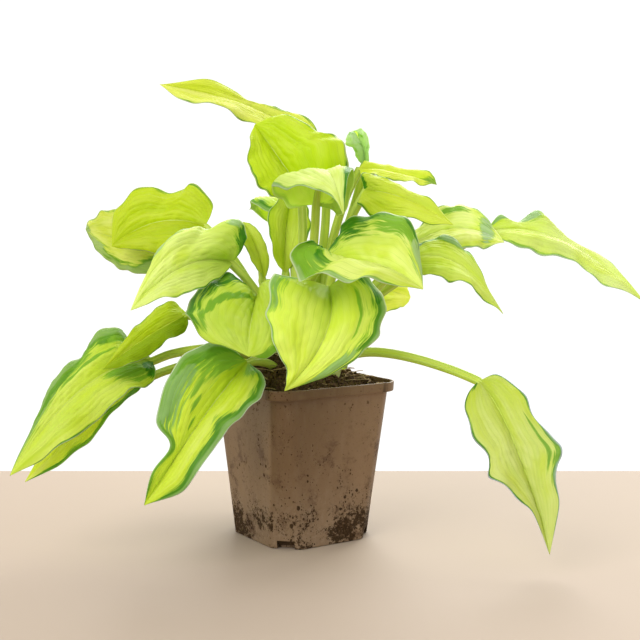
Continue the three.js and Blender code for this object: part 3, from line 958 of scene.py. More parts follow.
# The leaves' points in millimetres, from the middle of the pot's foot.
FORMS = (
    Form("leaf_front_heart", root=(13, -19),
         rib=((17, -40, 158), (15, -70, 132), (-8, -76, 101)),
         left=((37, -40, 168), (50, -52, 149), (44, -66, 130), (23, -76, 113)),
         right=((-12, -46, 167), (-18, -60, 150), (-15, -72, 130), (-7, -78, 112))),
    Form("leaf_front_cupped", root=(5, -14),
         rib=((12, -44, 171), (43, -60, 172), (70, -72, 158)),
         left=((20, -36, 184), (25, -36, 195), (41, -42, 200), (61, -50, 198), (69, -60, 180)),
         right=((7, -56, 186), (-4, -64, 179), (-1, -70, 165), (13, -76, 168),
                (26, -80, 162), (42, -80, 164), (58, -78, 160)), wave=1),
    Form("leaf_front_round", root=(-3, -12),
         rib=((-26, -22, 151), (-28, -57, 137), (-28, -80, 121)),
         left=((-17, -24, 162), (-10, -43, 150), (-7, -60, 134), (-14, -74, 121)),
         right=((-38, -20, 163), (-57, -32, 160),
                (-66, -50, 144), (-52, -68, 130)), arrive=(-0.5, -0.1, 0.6)),
    Form("leaf_front_hanging", root=(-12, -17),
         rib=((-31, -38, 113), (-55, -62, 84), (-87, -82, 37)),
         left=((-20, -54, 105), (-24, -62, 93), (-38, -70, 81), (-49, -78, 67), (-63, -84, 47)),
         right=((-44, -38, 123), (-61, -44, 123), (-75, -58, 108),
                (-81, -70, 84), (-73, -76, 69), (-83, -82, 54)), wave=1),
    Form("leaf_top_front", root=(4, -6),
         rib=((10, -12, 206), (16, -48, 226), (25, -76, 200)),
         left=((25, -14, 201), (31, -26, 215), (31, -46, 228), (27, -66, 216)),
         right=((-10, -8, 207), (-16, -30, 216), (1, -58, 215), (17, -70, 212))),
    Form("leaf_top_upright", root=(-3, -2),
         rib=((0, 0, 216), (-14, 8, 236), (-29, 14, 257)),
         left=((-15, -8, 212), (-27, -8, 219), (-32, 0, 235), (-32, 6, 247)),
         right=((27, -4, 223), (26, -2, 247), (11, 6, 252), (-11, 12, 263)), arrive=(-0.1, 0.1, 1)),
    Form("leaf_top_long", root=(4, 3),
         rib=((11, 34, 242), (-26, 38, 267), (-89, 16, 282)),
         left=((2, 30, 242), (-16, 28, 248), (-31, 24, 258), (-49, 14, 267), (-70, 8, 270)),
         right=((12, 40, 253), (3, 44, 263), (-14, 46, 270), (-30, 42, 273), (-56, 28, 286))),
    Form("leaf_top_young", root=(6, 12),
         rib=((40, 20, 231), (39, 18, 243), (33, 12, 253)),
         left=((36, 18, 235), (33, 14, 241), (28, 8, 246), (29, 8, 251)),
         right=((43, 18, 235), (43, 16, 242), (42, 14, 250), (38, 12, 254)), wave=0.6),
    Form("leaf_top_right", root=(12, 6),
         rib=((36, 5, 229), (60, 10, 226), (85, 5, 219)),
         left=((42, 14, 235), (55, 18, 232), (68, 16, 230), (81, 8, 227)),
         right=((39, -2, 225), (51, -4, 222), (64, -2, 220), (76, 0, 219)), wave=1, arrive=(0.5, 0, 1)),
    Form("leaf_right_upper", root=(12, -3),
         rib=((39, -8, 215), (63, -22, 210), (91, -34, 194)),
         left=((39, -4, 227), (54, -10, 221), (68, -18, 215), (81, -26, 206)),
         right=((35, -14, 207), (46, -20, 198), (62, -26, 198), (78, -34, 195)), arrive=(0.5, -0.1, 1)),
    Form("leaf_centre_upright", root=(-9, 10),
         rib=((-10, 18, 163), (-10, 24, 189), (-6, 28, 215)),
         left=((-15, 18, 169), (-20, 16, 186), (-21, 18, 200), (-15, 22, 210)),
         right=((-5, 18, 170), (3, 18, 183), (6, 20, 197), (2, 22, 209)), wave=1),
    Form("leaf_left_middle", root=(-10, -8),
         rib=((-41, -22, 171), (-68, -42, 170), (-97, -58, 145)),
         left=((-45, -32, 165), (-57, -46, 157), (-70, -56, 154), (-84, -60, 150)),
         right=((-32, -14, 185), (-39, -12, 197), (-57, -20, 193),
                (-71, -30, 190), (-86, -44, 173)), wave=1),
    Form("leaf_left_young", root=(-11, 0),
         rib=((-23, -4, 160), (-27, 0, 179), (-36, 6, 196)),
         left=((-26, -6, 166), (-32, -6, 175), (-36, -2, 184), (-39, 2, 191)),
         right=((-20, -2, 166), (-20, 0, 177), (-24, 2, 187), (-30, 4, 194)), wave=0.8),
    Form("leaf_left_upper", root=(-17, 13),
         rib=((-61, 20, 193), (-93, 32, 196), (-123, 30, 180)),
         left=((-60, 12, 183), (-79, 18, 177), (-97, 22, 177), (-112, 26, 178)),
         right=((-57, 26, 207), (-70, 34, 220), (-84, 40, 215), (-104, 44, 219), (-122, 40, 204)), wave=1),
    Form("leaf_left_back", root=(-12, 21),
         rib=((-85, 40, 178), (-118, 52, 184), (-145, 56, 191)),
         left=((-92, 34, 165), (-111, 42, 162), (-127, 48, 168), (-139, 54, 179)),
         right=((-90, 48, 189), (-112, 62, 203), (-131, 68, 203), (-143, 64, 199))),
    Form("leaf_left_small", root=(-19, -4),
         rib=((-70, -8, 139), (-92, -26, 127), (-115, -50, 110)),
         left=((-70, -14, 130), (-80, -26, 124), (-90, -38, 117), (-102, -48, 112)),
         right=((-78, -2, 145), (-89, -8, 142), (-99, -20, 133), (-107, -36, 122)), wave=1),
    Form("leaf_left_low", root=(-19, -12),
         rib=((-90, -20, 112), (-128, -44, 98), (-168, -60, 49)),
         left=((-88, -32, 101), (-101, -48, 96), (-119, -58, 80), (-144, -62, 62)),
         right=((-111, -12, 129), (-126, -18, 125),
                (-138, -30, 110), (-152, -44, 88)), arrive=(-1, -0.3, -0.38)),
    Form("leaf_left_low_under", root=(-20, 5),
         rib=((-96, -10, 100), (-123, -34, 81), (-162, -50, 43)),
         left=((-97, -18, 96), (-109, -36, 84), (-123, -48, 69), (-139, -54, 55)),
         right=((-108, -4, 103), (-120, -18, 96),
                (-134, -30, 83), (-150, -42, 64)), wave=1, arrive=(-1, -0.2, -0.3)),
    Form("leaf_right_small", root=(19, -4),
         rib=((64, -14, 172), (93, -26, 172), (121, -36, 141)),
         left=((75, -4, 183), (88, -8, 186), (101, -16, 178), (110, -28, 161)),
         right=((72, -24, 165), (84, -36, 163), (97, -40, 159), (109, -40, 151))),
    Form("leaf_right_back", root=(19, 5),
         rib=((70, 12, 181), (100, 20, 192), (128, 8, 183)),
         left=((71, 24, 191), (86, 32, 202), (104, 34, 206), (118, 22, 199)),
         right=((73, 4, 175), (87, 0, 177), (100, 0, 179), (114, 2, 180))),
    Form("leaf_right_long", root=(20, 13),
         rib=((118, 26, 189), (166, 30, 185), (218, 10, 145)),
         left=((129, 36, 200), (141, 38, 197), (156, 44, 202),
               (173, 38, 186), (192, 30, 175), (205, 20, 163)),
         right=((127, 20, 186), (140, 14, 179), (156, 12, 176),
                (174, 12, 171), (185, 8, 160), (200, 6, 154)), wave=1),
    Form("leaf_right_under", root=(14, 19),
         rib=((35, 22, 148), (54, 30, 151), (72, 44, 146)),
         left=((41, 28, 154), (53, 36, 156), (64, 42, 155), (70, 46, 152)),
         right=((40, 18, 142), (51, 20, 138), (60, 28, 139), (68, 38, 141)), wave=1),
    Form("leaf_right_hanging", root=(21, -13),
         rib=((106, -40, 102), (123, -64, 71), (140, -90, 11)),
         left=((118, -44, 106), (130, -54, 97), (137, -64, 82),
               (148, -76, 69), (145, -82, 57), (145, -88, 39)),
         right=((99, -44, 93), (99, -60, 76), (108, -72, 62),
                (108, -80, 52), (121, -86, 43), (130, -88, 35)), wave=1, arrive=(1, -0.2, -0.42)),
    Form("leaf_back_low_left", root=(-5, 22),
         rib=((-26, 48, 118), (-32, 72, 106), (-36, 84, 58)),
         left=((-42, 44, 118), (-56, 60, 108), (-56, 76, 88), (-48, 84, 68)),
         right=((-11, 44, 120), (-8, 62, 110), (-14, 76, 92), (-22, 82, 72))),
    Form("leaf_back_low_right", root=(4, 22),
         rib=((14, 50, 124), (14, 78, 112), (16, 92, 62)),
         left=((4, 48, 126), (-2, 68, 118), (0, 82, 98), (8, 90, 76)),
         right=((24, 46, 122), (30, 62, 112), (30, 80, 92), (24, 88, 72))),
    Form("leaf_back_middle", root=(-1, 15),
         rib=((0, 46, 146), (0, 88, 146), (-4, 120, 112)),
         left=((-20, 44, 146), (-32, 66, 144), (-28, 94, 138), (-16, 112, 124)),
         right=((18, 44, 146), (30, 66, 144), (22, 94, 138), (8, 112, 124))),
    Form("leaf_back_top", root=(-2, 7),
         rib=((-8, 40, 204), (-12, 66, 214), (-14, 98, 194)),
         left=((-18, 38, 204), (-32, 54, 206), (-34, 76, 204), (-26, 90, 196)),
         right=((2, 38, 205), (6, 54, 210), (2, 76, 210), (-8, 90, 204))),
)

# The markings by the leaf's name; the four leaves at the back have the plain ones.
MARKS = {
    "leaf_front_heart": Marks(
        left=0.20, right=0.035, frost=(0.40, 0.9), heart=0.78, fade=0.30, cast=(1.17, 1.13, 1.2),
        streaks=(
            Streak(-0.54, 0.42, 0.03, 0.17, Tint.LIGHT), Streak(-0.94, 0.36, 0.14, 0.10),
            Streak(0.99, 0.26, 0.20, 0.17, Tint.FROST), Streak(-0.74, 0.80, 0.18, 0.14, Tint.FROST),
        ),
    ),
    "leaf_front_cupped": Marks(
        left=0.16, right=0.10, frost=(0.06, 0.85), depth=(0.9, 0.6), heart=0.2,
        cast=(1.06, 1.03, 1.0), mood=Mood.SHEEN,
        streaks=(
            Streak(-0.95, 0.64, 0.36, 0.15, Tint.LIGHT), Streak(-0.98, 0.30, 0.44, 0.22),
            Streak(-1.0, 0.66, 0.36, 0.13), Streak(-0.98, 0.86, 0.50, 0.11, Tint.FROST),
            Streak(0.95, 0.24, 0.50, 0.20, Tint.LIGHT), Streak(0.84, 0.14, 0.46, 0.08),
            Streak(0.55, 0.33, 0.08, 0.09), Streak(1.0, 0.22, 0.16, 0.14),
        ),
    ),
    "leaf_front_round": Marks(
        left=0.045, right=0.16, frost=(0.3, 0.20), depth=(0.8, 0.75), heart=0.35,
        cast=(0.88, 0.92, 0.7),
        streaks=(
            Streak(0.52, 0.46, 0.075, 0.24, Tint.LIGHT, 1.2), Streak(-0.90, 0.84, 0.22, 0.10, Tint.LIGHT),
            Streak(1.0, 0.28, 0.32, 0.26), Streak(0.90, 0.80, 0.16, 0.12, Tint.CLEAR),
        ),
    ),
    "leaf_front_hanging": Marks(
        left=0.28, right=0.32, frost=(0.45, 0.35), depth=(0.8, 0.5), heart=0.65,
        cast=(1.11, 1.06, 1.4), mood=Mood.SHADED,
        streaks=(
            Streak(0.55, 0.18, 0.32, 0.16, Tint.LIGHT), Streak(0.95, 0.50, 0.42, 0.20, Tint.FROST),
            Streak(0.30, 0.47, 0.035, 0.05, Tint.LIGHT), Streak(0.18, 0.56, 0.03, 0.04, Tint.LIGHT),
            Streak(0.42, 0.40, 0.04, 0.06, Tint.LIGHT), Streak(-0.5, 0.10, 0.25, 0.08, Tint.LIGHT),
        ),
    ),
    "leaf_top_front": Marks(
        left=0.40, right=0.07, frost=(0.05, 1.0), depth=(1.0, 0.8), heart=0.0, cast=(0.95, 0.94, 1.05),
        below=1.35, mood=Mood.SHEEN,
    ),
    "leaf_top_upright": Marks(
        left=0.035, right=0.03, heart=0.15, cast=(0.96, 0.93, 0.6), mood=Mood.BACKLIT,
    ),
    "leaf_top_long": Marks(
        left=0.04, right=0.09, frost=(0.5, 0.8), heart=0.05, cast=(1.12, 1.00, 1.2),
        streaks=(Streak(0.85, 0.50, 0.30, 0.09, Tint.FROST),),
    ),
    "leaf_top_young": Marks(
        left=1.3, right=1.3, frost=(1.0, 1.0), heart=0.0, cast=(1.36, 1.28, 1.9), mood=Mood.SHEEN,
        streaks=(Streak(0.0, 0.05, 1.4, 0.30, Tint.LIGHT),),
    ),
    "leaf_top_right": Marks(
        left=0.06, right=0.05, frost=(1.0, 1.0), heart=0.0, cast=(1.04, 0.98, 0.5),
        streaks=(Streak(0.0, 0.95, 1.2, 0.12, Tint.FROST),),
    ),
    "leaf_right_upper": Marks(
        left=0.06, right=0.05, frost=(0.5, 0.2), depth=(0.5, 0.8), dusk=(0.12, 0.04), heart=0.4,
        cast=(1.05, 0.99, 0.7), streaks=(Streak(-0.8, 0.06, 0.4, 0.08),),
    ),
    "leaf_centre_upright": Marks(
        left=0.05, right=0.05, dusk=(0.12, 0.08), heart=0.3, cast=(1.0, 0.96, 0.9),
    ),
    "leaf_left_middle": Marks(
        left=0.03, right=0.03, frost=(0.3, 0.6), dusk=(0.1, 0.0), heart=0.75, fade=0.42,
        cast=(1.08, 1.06, 1.15), mood=Mood.SHEEN,
        streaks=(
            Streak(0.98, 0.15, 0.32, 0.15), Streak(0.92, 0.33, 0.12, 0.06, Tint.FROST),
            Streak(0.95, 0.75, 0.14, 0.10, Tint.FROST),
        ),
    ),
    "leaf_left_young": Marks(
        left=0.06, right=0.08, depth=(0.4, 0.4), dusk=(0.2, 0.1), heart=0.2, cast=(0.95, 0.92, 0.7),
    ),
    "leaf_left_upper": Marks(
        left=0.035, right=0.04, frost=(0.3, 0.3), depth=(0.4, 0.4), dusk=(0.12, 0.0), heart=0.3,
        cast=(0.94, 0.88, 0.5), mood=Mood.BACKLIT,
    ),
    "leaf_left_back": Marks(
        left=0.34, right=0.07, frost=(0.75, 0.9), depth=(0.5, 0.5), heart=0.2, cast=(0.93, 0.87, 0.75),
        mood=Mood.SHEEN,
        streaks=(Streak(-0.95, 0.80, 0.50, 0.22, Tint.FROST), Streak(0.30, 0.97, 0.9, 0.05, Tint.FROST)),
    ),
    "leaf_left_small": Marks(
        left=0.03, right=0.05, dusk=(0.75, 0.1), heart=0.3, cast=(0.92, 0.88, 0.6), mood=Mood.BACKLIT,
    ),
    "leaf_left_low": Marks(
        left=0.035, right=0.42, frost=(0.2, 0.55), depth=(0.9, 0.55), heart=0.9, cast=(0.98, 0.97, 0.9),
        streaks=(
            Streak(-0.72, 0.09, 0.50, 0.11), Streak(-0.35, 0.24, 0.42, 0.12, Tint.LIGHT),
            Streak(0.42, 0.45, 0.05, 0.18, Tint.LIGHT), Streak(0.98, 0.66, 0.45, 0.30, Tint.LIGHT),
            Streak(1.0, 0.84, 0.68, 0.22, Tint.FROST), Streak(1.0, 0.70, 0.34, 0.34),
            Streak(0.70, 0.22, 0.14, 0.10, Tint.LIGHT),
        ),
    ),
    "leaf_left_low_under": Marks(
        left=0.26, right=0.12, frost=(0.1, 0.1), dusk=(0.1, 0.1), cast=(1.34, 1.18, 1.7),
    ),
    "leaf_right_small": Marks(
        left=0.10, right=0.04, frost=(0.3, 0.4), depth=(0.7, 0.6), heart=0.1, cast=(1.06, 1.03, 1.25),
        streaks=(Streak(-0.86, 0.16, 0.2, 0.14), Streak(-0.95, 0.38, 0.30, 0.26, Tint.FROST)),
    ),
    "leaf_right_back": Marks(
        left=0.08, right=0.05, frost=(0.8, 0.8), depth=(0.4, 0.4), heart=0.1, cast=(1.10, 1.05, 1.4),
        mood=Mood.SHEEN,
        streaks=(Streak(-0.1, 0.82, 0.9, 0.07, Tint.FROST), Streak(-0.7, 0.5, 0.12, 0.16, Tint.LIGHT)),
    ),
    "leaf_right_long": Marks(
        left=0.08, right=0.07, frost=(0.6, 0.9), depth=(0.0, 0.3), heart=0.1, cast=(1.05, 1.03, 1.35),
        mood=Mood.SHEEN,
        streaks=(Streak(-0.8, 0.12, 0.20, 0.07, Tint.FROST), Streak(-0.90, 0.35, 0.34, 0.08, Tint.FROST)),
    ),
    "leaf_right_under": Marks(
        left=0.03, right=0.03, heart=0.0, cast=(1.42, 1.24, 1.5),
    ),
    "leaf_right_hanging": Marks(
        left=0.075, right=0.065, frost=(0.8, 0.3), depth=(0.9, 0.9), heart=0.15, cast=(0.99, 0.93, 1.8),
        stem=1.2, streaks=(
            Streak(0.85, 0.05, 0.25, 0.06), Streak(-0.72, 0.55, 0.05, 0.14, Tint.LIGHT),
            Streak(-0.92, 0.62, 0.10, 0.07, Tint.LIGHT),
        ),
    ),
}


@dataclass
class Leaf:
    """One leaf: a thin blade with furrowed veins and waved margins, and its channelled petiole.

    The blade is built on stations along the midrib and points across it. The first and the last
    station stop short of the joint and the tip, and the stations crowd towards both.

    Attributes:
        form: Its shape.
        marks: Its markings.
        seed: Sets its relief and its noise apart from the other leaves'.
        across: Points across the blade, an odd number.
        along: Stations along it.
        crowding: How much the stations crowd, 0 to 1.
        dome: Height of each half's dome, as a share of its reach.
        waves: Waves along each margin.
        lag: How far the right margin's waves lag behind the left one's, in radians.
        ruffle: Height of the finer waves.
        ruffle_reach: Reach of a half from which they have their full height.
        ruffles: Weight, pitch and seed's share of each finer wave.
        scallop: Depth of the margin's scallops, as a share of the reach.
        scallops: Pitch along, pitch across and seed's share of each of their sines.
        furrow: Depth of the furrows between the veins.
        groove: Depth of the groove over the midrib.
        pucker: Height of the puckers between the veins.
        folds: Height of the broad folds.
        pleats: Height of the pleats along the blade.
        wide: Reach of a half from which the relief has its full height.
        swells: Pitch and strength of the swellings of the green margins.
        channel: Depth of the petiole's channel, as a share of the radius.
        lip_at: Place of the channel's lips round the petiole, in radians from its top.
        bottom: Height of the petiole's lower end, in the soil.
        collar: How far it stands quite upright above that.
        bend: Height from which it may arch.
        keel: How far the petiole runs on under the blade, as a share of the midrib.
    """

    form: Form
    marks: Marks
    seed: int
    across: int = 61
    along: int = 92
    first_station: float = 0.004
    last_station: float = 0.998
    crowding: float = 0.25
    thickness: float = 0.42
    dome: float = 0.12
    waves: float = 3.0
    lag: float = 2.1
    ruffle: float = 0.9
    ruffle_reach: float = 26.0
    ruffles: tuple[Point, ...] = ((1.0, 1.6, 1), (0.7, 2.7, 2), (0.8, 0.6, 3))
    scallop: float = 0.018
    scallops: tuple[Point, ...] = ((31, 5, 1), (47, 3, 2))
    veins: float = 8.0
    furrow: float = 0.42
    groove: float = 0.4
    groove_width: float = 1.5
    pucker: float = 0.2
    pucker_size: float = 7.0
    folds: float = 1.0
    fold_size: float = 34.0
    pleats: float = 0.5
    pleat_pitch: float = 9.5
    wide: float = 24.0
    swells: tuple[tuple[float, float], ...] = ((7, 0.26), (16, 0.18), (29, 0.14))
    base_radius: float = 3.2
    top_radius: float = 2.7
    end_radius: float = 0.3
    channel: float = 0.42
    channel_width: float = 0.62
    lip_at: float = 0.75
    lip_width: float = 0.22
    bottom: float = 84.0
    collar: float = 7.0
    bend: float = 99.0
    sides: int = 22
    steps: int = 44
    rib_steps: int = 22
    keel: float = 0.8

    def rib_curve(self) -> Array:
        """Control points of the midrib's quadratic curve from joint over middle to tip."""
        joint, middle, tip = (np.array(p, float) for p in self.form.rib)
        return np.array([joint, 2 * middle - (joint + tip) / 2, tip])

    def sheet(self) -> tuple[Array, Array, Array]:
        """The blade's middle surface.

        At each station both halves reach straight from the midrib to their margins. Between them
        a half is domed upwards by 4a(1 - a), where a is the share of the reach.

        Returns:
            Points with shape (along, across, 3), side from -1 to 1 and place from 0 to 1.
        """
        u = np.linspace(self.first_station, self.last_station, self.along)
        t = (1 - self.crowding) * u + self.crowding * (1 - np.cos(np.pi * u)) / 2
        side, place = np.meshgrid(np.linspace(-1, 1, self.across), t)
        rib = self.rib_curve()
        centre, along = bezier(rib, t), unit(bezier(np.diff(rib, axis=0), t))
        margins = [np.vstack([rib[0], own, rib[2]]) for own in (self.form.left, self.form.right)]
        left, right = (spline(margin, t) - centre for margin in margins)
        on_right = (side > 0)[..., None]
        both = np.where(on_right, right[:, None], left[:, None])
        ups = [unit(np.cross(right, along)), unit(np.cross(along, left))]
        up = np.where(on_right, ups[0][:, None], ups[1][:, None])
        share, length = np.abs(side), np.linalg.norm(both, axis=-1)
        both = both * (1 + self.nicks(side, place))[..., None]
        crown = self.dome * length * np.clip(4 * place, 0, 1) * 4 * share * (1 - share)
        lift = crown + self.margin_waves(side, place, length)
        return centre[:, None] + share[..., None] * both + up * lift[..., None], side, place

    def nicks(self, side: Array, place: Array) -> Array:
        """Scallops of the margin, as shares of the reach: two sines that fade at both ends."""
        sines = sum(np.sin(a * place + b * side + c * self.seed) for a, b, c in self.scallops)
        return self.scallop * sines * np.clip(8 * place * (1 - place), 0, 1)

    def margin_waves(self, side: Array, place: Array, length: Array) -> Array:
        """Height of the waved and ruffled margins: sines of the place times the share cubed.

        Args:
            side: Side of each point.
            place: Place of each point.
            length: Reach from the midrib to the margin.

        Returns:
            Height in millimetres.
        """
        turn = 2 * np.pi * self.waves * place + np.where(side > 0, self.lag, 0.0)
        ruffles = sum(a * np.sin(b * turn + c * self.seed) for a, b, c in self.ruffles)
        height = self.form.wave * np.sin(turn)
        height = height + self.ruffle * np.clip(length / self.ruffle_reach, 0, 1) * ruffles
        return height * np.abs(side) ** 3 * np.clip(6 * place, 0, 1) * np.clip(5 * (1 - place), 0, 1)

    def normals(self, points: Array) -> Array:
        """Upward directions square to the sheet; the crowded end stations copy their neighbours.

        Args:
            points: The sheet's points.

        Returns:
            One direction for each point.
        """
        normal = unit(np.cross(np.gradient(points, axis=1), np.gradient(points, axis=0)))
        normal[:2], normal[-2:] = normal[2], normal[-3]
        return normal

    def reach(self, points: Array, side: Array) -> Array:
        """Distance from the midrib to the margin, on each point's own side of the blade.

        Args:
            points: The sheet's points.
            side: Side of each point.

        Returns:
            One distance for each point.
        """
        rib = points[:, self.across // 2]
        left, right = (np.linalg.norm(points[:, k] - rib, axis=-1)[:, None] for k in (0, -1))
        return np.where(side > 0, right, left)

    def relief(self, points: Array, side: Array, place: Array) -> Array:
        """Height of the fine relief: furrowed veins, puckers between them and broad soft folds.

        Args:
            points: The blade's middle surface.
            side: Side of each point.
            place: Place of each point.

        Returns:
            Height in millimetres along the normal.
        """
        share, reach = np.abs(side), self.reach(points, side)
        rib = points[:, self.across // 2]
        x, y = side * reach, place * np.linalg.norm(rib[-1] - rib[0])
        swell = np.abs(np.sin(np.pi * share * self.veins)) ** 0.7
        veins = self.furrow * (swell - 0.6) * (1 - share**6)
        groove = self.groove * bell(x, self.groove_width)
        pucker = self.pucker * ripple(1.6 * x, y, self.seed, self.pucker_size) * swell
        folds = self.folds * ripple(x, 0.7 * y, self.seed + 50, self.fold_size)
        pleats = self.pleats * np.sin(self.pleat_pitch * share + self.seed + 1.5 * side)
        broad = folds * smooth(0.1, 0.7, share) + pleats * smooth(0.05, 0.3, share)
        ends = smooth(0.02, 0.18, place) * smooth(0.0, 0.14, 1 - place)
        return (veins - groove + pucker + broad) * ends * np.clip(reach / self.wide, 0, 1)

    def blade(self) -> Shell:
        """The blade as a closed shell: its upper face, round the margin, and its lower face.

        The thickness falls off towards the margin as the root of one less the side to the power 10.

        Returns:
            The shell, with the values that the blade's finish reads.
        """
        points, side, place = self.sheet()
        points = points + self.normals(points) * self.relief(points, side, place)[..., None]
        half = self.thickness / 2 * np.sqrt(np.clip(1 - np.abs(side) ** 10, 0.02, 1))
        half = self.normals(points) * (half * smooth(0, 0.02, 1.004 - place))[..., None]
        rings = np.concatenate([points + half, (points - half)[:, ::-1]], axis=1)
        uv = np.stack([side * 0.5 + 0.5, place], axis=-1)
        shell = loft(rings, np.concatenate([uv, uv[:, ::-1]], axis=1))
        marks, dusk = self.markings(side, place)
        wide = self.reach(points, side) / self.wide
        # The blade's own tint and its painted light.
        cast = np.broadcast_to(self.marks.cast, marks.shape)
        looks = {
            "marks": (marks, marks),
            "tones": (self.tones(place, 0.0), self.tones(place, 1.0)),
            "dusk": (dusk, dusk),
            "room": (np.clip(wide, 0, 1) ** 2,) * 2,
            # The lower face takes more painted light, by the factor below.
            "cast": (cast, cast * self.marks.below),
        }
        for key, (upper, lower) in looks.items():
            shell.values[key] = spread(np.concatenate([upper, lower[:, ::-1]], axis=1))
        shell.tell("span", min(1.15, float(np.mean(wide)) * 1.25))
        shell.tell("seed", self.seed * 3.7)
        return shell

    def margin_width(self, place: Array, right: Array) -> Array:
        """Width of the green margin: it swells and shrinks by sines, and narrows to the tip.

        Args:
            place: Place of each point.
            right: Whether the point lies on the right half.

        Returns:
            The width, as a share of the half blade.
        """
        rng = np.random.default_rng(self.seed + 7)
        width = np.where(right, self.marks.right, self.marks.left)
        for pitch, swing in self.swells:
            a, b = rng.uniform(0, 6.28, 2)
            width = width * (1 + swing * np.sin(pitch * place + np.where(right, a, b)))
        return width * (1 - 0.55 * smooth(0.7, 1.0, place)) * smooth(-0.01, 0.05, place)

    def markings(self, side: Array, place: Array) -> tuple[Array, Array]:
        """Where the blade is green, and how; it is green where the first value passes one half.

        Args:
            side: Side of each point.
            place: Place of each point.

        Returns:
            Extent, frost and depth of the green, shape (along, across, 3), and how much painted shade
            darkens it to olive.
        """
        share, right = np.abs(side), side > 0
        frost, depth, dusk = (
            np.where(right, pair[1], pair[0])
            for pair in (self.marks.frost, self.marks.depth, self.marks.dusk)
        )
        width = self.margin_width(place, right)
        green = 0.5 + np.clip(0.42 / np.maximum(width, 0.01), 2, 8) * (share - 1 + width)
        frosted = smooth(-0.03, 0.04, share - 1 + width * frost * 1.1)
        for streak in self.marks.streaks:
            fleck = streak.fleck(side, place)
            if streak.tint is Tint.CLEAR:
                green = np.minimum(green, 1 - fleck)
                continue
            dark, pale = streak.tint.value
            depth = np.where(fleck > green, dark, depth)
            frosted = np.where(fleck > green, pale, frosted)
            green = np.maximum(green, fleck)
        # Painted shade: olive over a shaded half, and darker round the joint by heart and fade.
        dusk = dusk * smooth(0.0, 0.12, share)
        dusk = dusk + self.marks.heart * bell(place, self.marks.fade) * (1 - 0.6 * share)
        return np.stack([np.clip(green, 0, 1), frosted, depth], axis=-1), np.clip(dusk, 0, 1)

    def tones(self, place: Array, under: float) -> Array:
        """How much painted light a face's colour has.

        Args:
            place: Place of each point.
            under: 0 on the upper face and 1 on the lower one.

        Returns:
            Painted glow, strongest at the joint, painted sheen, strongest at the tip, and which face it is.
        """
        glow, pale = self.marks.mood.value
        glow = np.clip(glow + 0.4 * bell(place, 0.35), 0, 1)
        pale = pale * (0.35 + 0.65 * smooth(0.1, 0.75, place))
        return np.stack([glow, pale, np.full(place.shape, under)], axis=-1)

    def petiole_line(self) -> Array:
        """The petiole's course: a cubic that stands upright in the soil and arches to the joint.

        Returns:
            Its four control points.
        """
        rib = self.rib_curve()
        foot, joint = np.array([*self.form.root, self.bend]), rib[0]
        third = 0.35 * np.linalg.norm(joint - foot)
        arrive = self.form.arrive or unit(rib[1] - rib[0]) + unit(joint - foot)
        return np.array([foot, foot + (0, 0, third), joint - unit(np.array(arrive)) * third, joint])

    def petiole_axes(self, along: Array) -> tuple[Array, Array]:
        """Directions across and over the petiole, turned as the blade is near its joint.

        Args:
            along: The petiole's own directions.

        Returns:
            The directions across it and those over it, square to it at each point.
        """
        up = self.normals(self.sheet()[0])[self.along // 6, self.across // 2]
        across = unit(np.cross(along[-self.rib_steps - 1], up))
        side = unit(across - along * np.sum(along * across, axis=-1, keepdims=True))
        return side, np.cross(side, along)

    def petiole(self) -> Shell:
        """The petiole: a tube with a channel along its upper side, thinning out under the midrib.

        A section's radius is cut back by a bell curve round its top, which makes the channel; the
        channel fades and the tube sinks under the blade as it runs out along the midrib.

        Returns:
            The closed shell.
        """
        u = np.linspace(0, 1, self.steps)
        t = np.linspace(0, 1, self.rib_steps + 1)[1:]
        foot = np.array([[*self.form.root, self.bottom + rise] for rise in (0, self.collar)])
        stem, keel = bezier(self.petiole_line(), u), bezier(self.rib_curve(), self.keel * t)
        path = np.vstack([foot, stem, keel])
        along = tangents(path)
        along[: len(foot) + 1] = (0, 0, 1)
        side, over = self.petiole_axes(along)
        level = np.zeros(len(foot))
        radius = np.concatenate([
            level + self.base_radius,
            self.base_radius + (self.top_radius - self.base_radius) * u**0.8,
            self.top_radius + (self.end_radius - self.top_radius) * t**0.6,
        ])
        sunk = np.concatenate([level, 0.5 * smooth(0.86, 1.0, u), 0.5 + 0.5 * smooth(0, 0.2, t)])
        hollow = np.concatenate([level + 0.3, 0.3 + 0.7 * u, 1 - smooth(0.0, 0.25, t)])
        angle = np.linspace(0, 2 * np.pi, self.sides, endpoint=False)
        off_top = np.minimum(angle, 2 * np.pi - angle)
        dip = bell(angle, self.channel_width) + bell(2 * np.pi - angle, self.channel_width)
        reach = (radius[:, None] * (1 - self.channel * hollow[:, None] * dip))[..., None]
        turned = over[:, None] * np.cos(angle)[:, None] + side[:, None] * np.sin(angle)[:, None]
        ring = (path - over * (sunk * radius)[:, None])[:, None] + reach * turned
        length = np.concatenate([[0], np.cumsum(np.linalg.norm(np.diff(path, axis=0), axis=1))])
        shell = loft(ring, np.stack(np.meshgrid(angle / (2 * np.pi), length / length[-1]), axis=-1))
        lips = hollow[:, None] * bell(off_top - self.lip_at, self.lip_width)
        shell.values["marks"] = spread(np.stack([lips, 0 * lips, 0 * lips], axis=-1))
        # Painted light: how much brighter the petiole is.
        shell.tell("cast", (self.marks.stem,) * 3)
        shell.tell("seed", self.seed * 2.3)
        shell.finish = 1
        return shell

    def build(self, blade: bpy.types.Material, petiole: bpy.types.Material) -> bpy.types.Object:
        """Makes the leaf's piece.

        Args:
            blade: Finish of the blade.
            petiole: Finish of the petiole.

        Returns:
            The new object.
        """
        shells = [self.blade().turned(PLANT_TURN), self.petiole().turned(PLANT_TURN)]
        return make_piece("fine_" + self.form.name, shells, [blade, petiole], self.form.name)


# ---------------------------------------------------------------- pot and soil


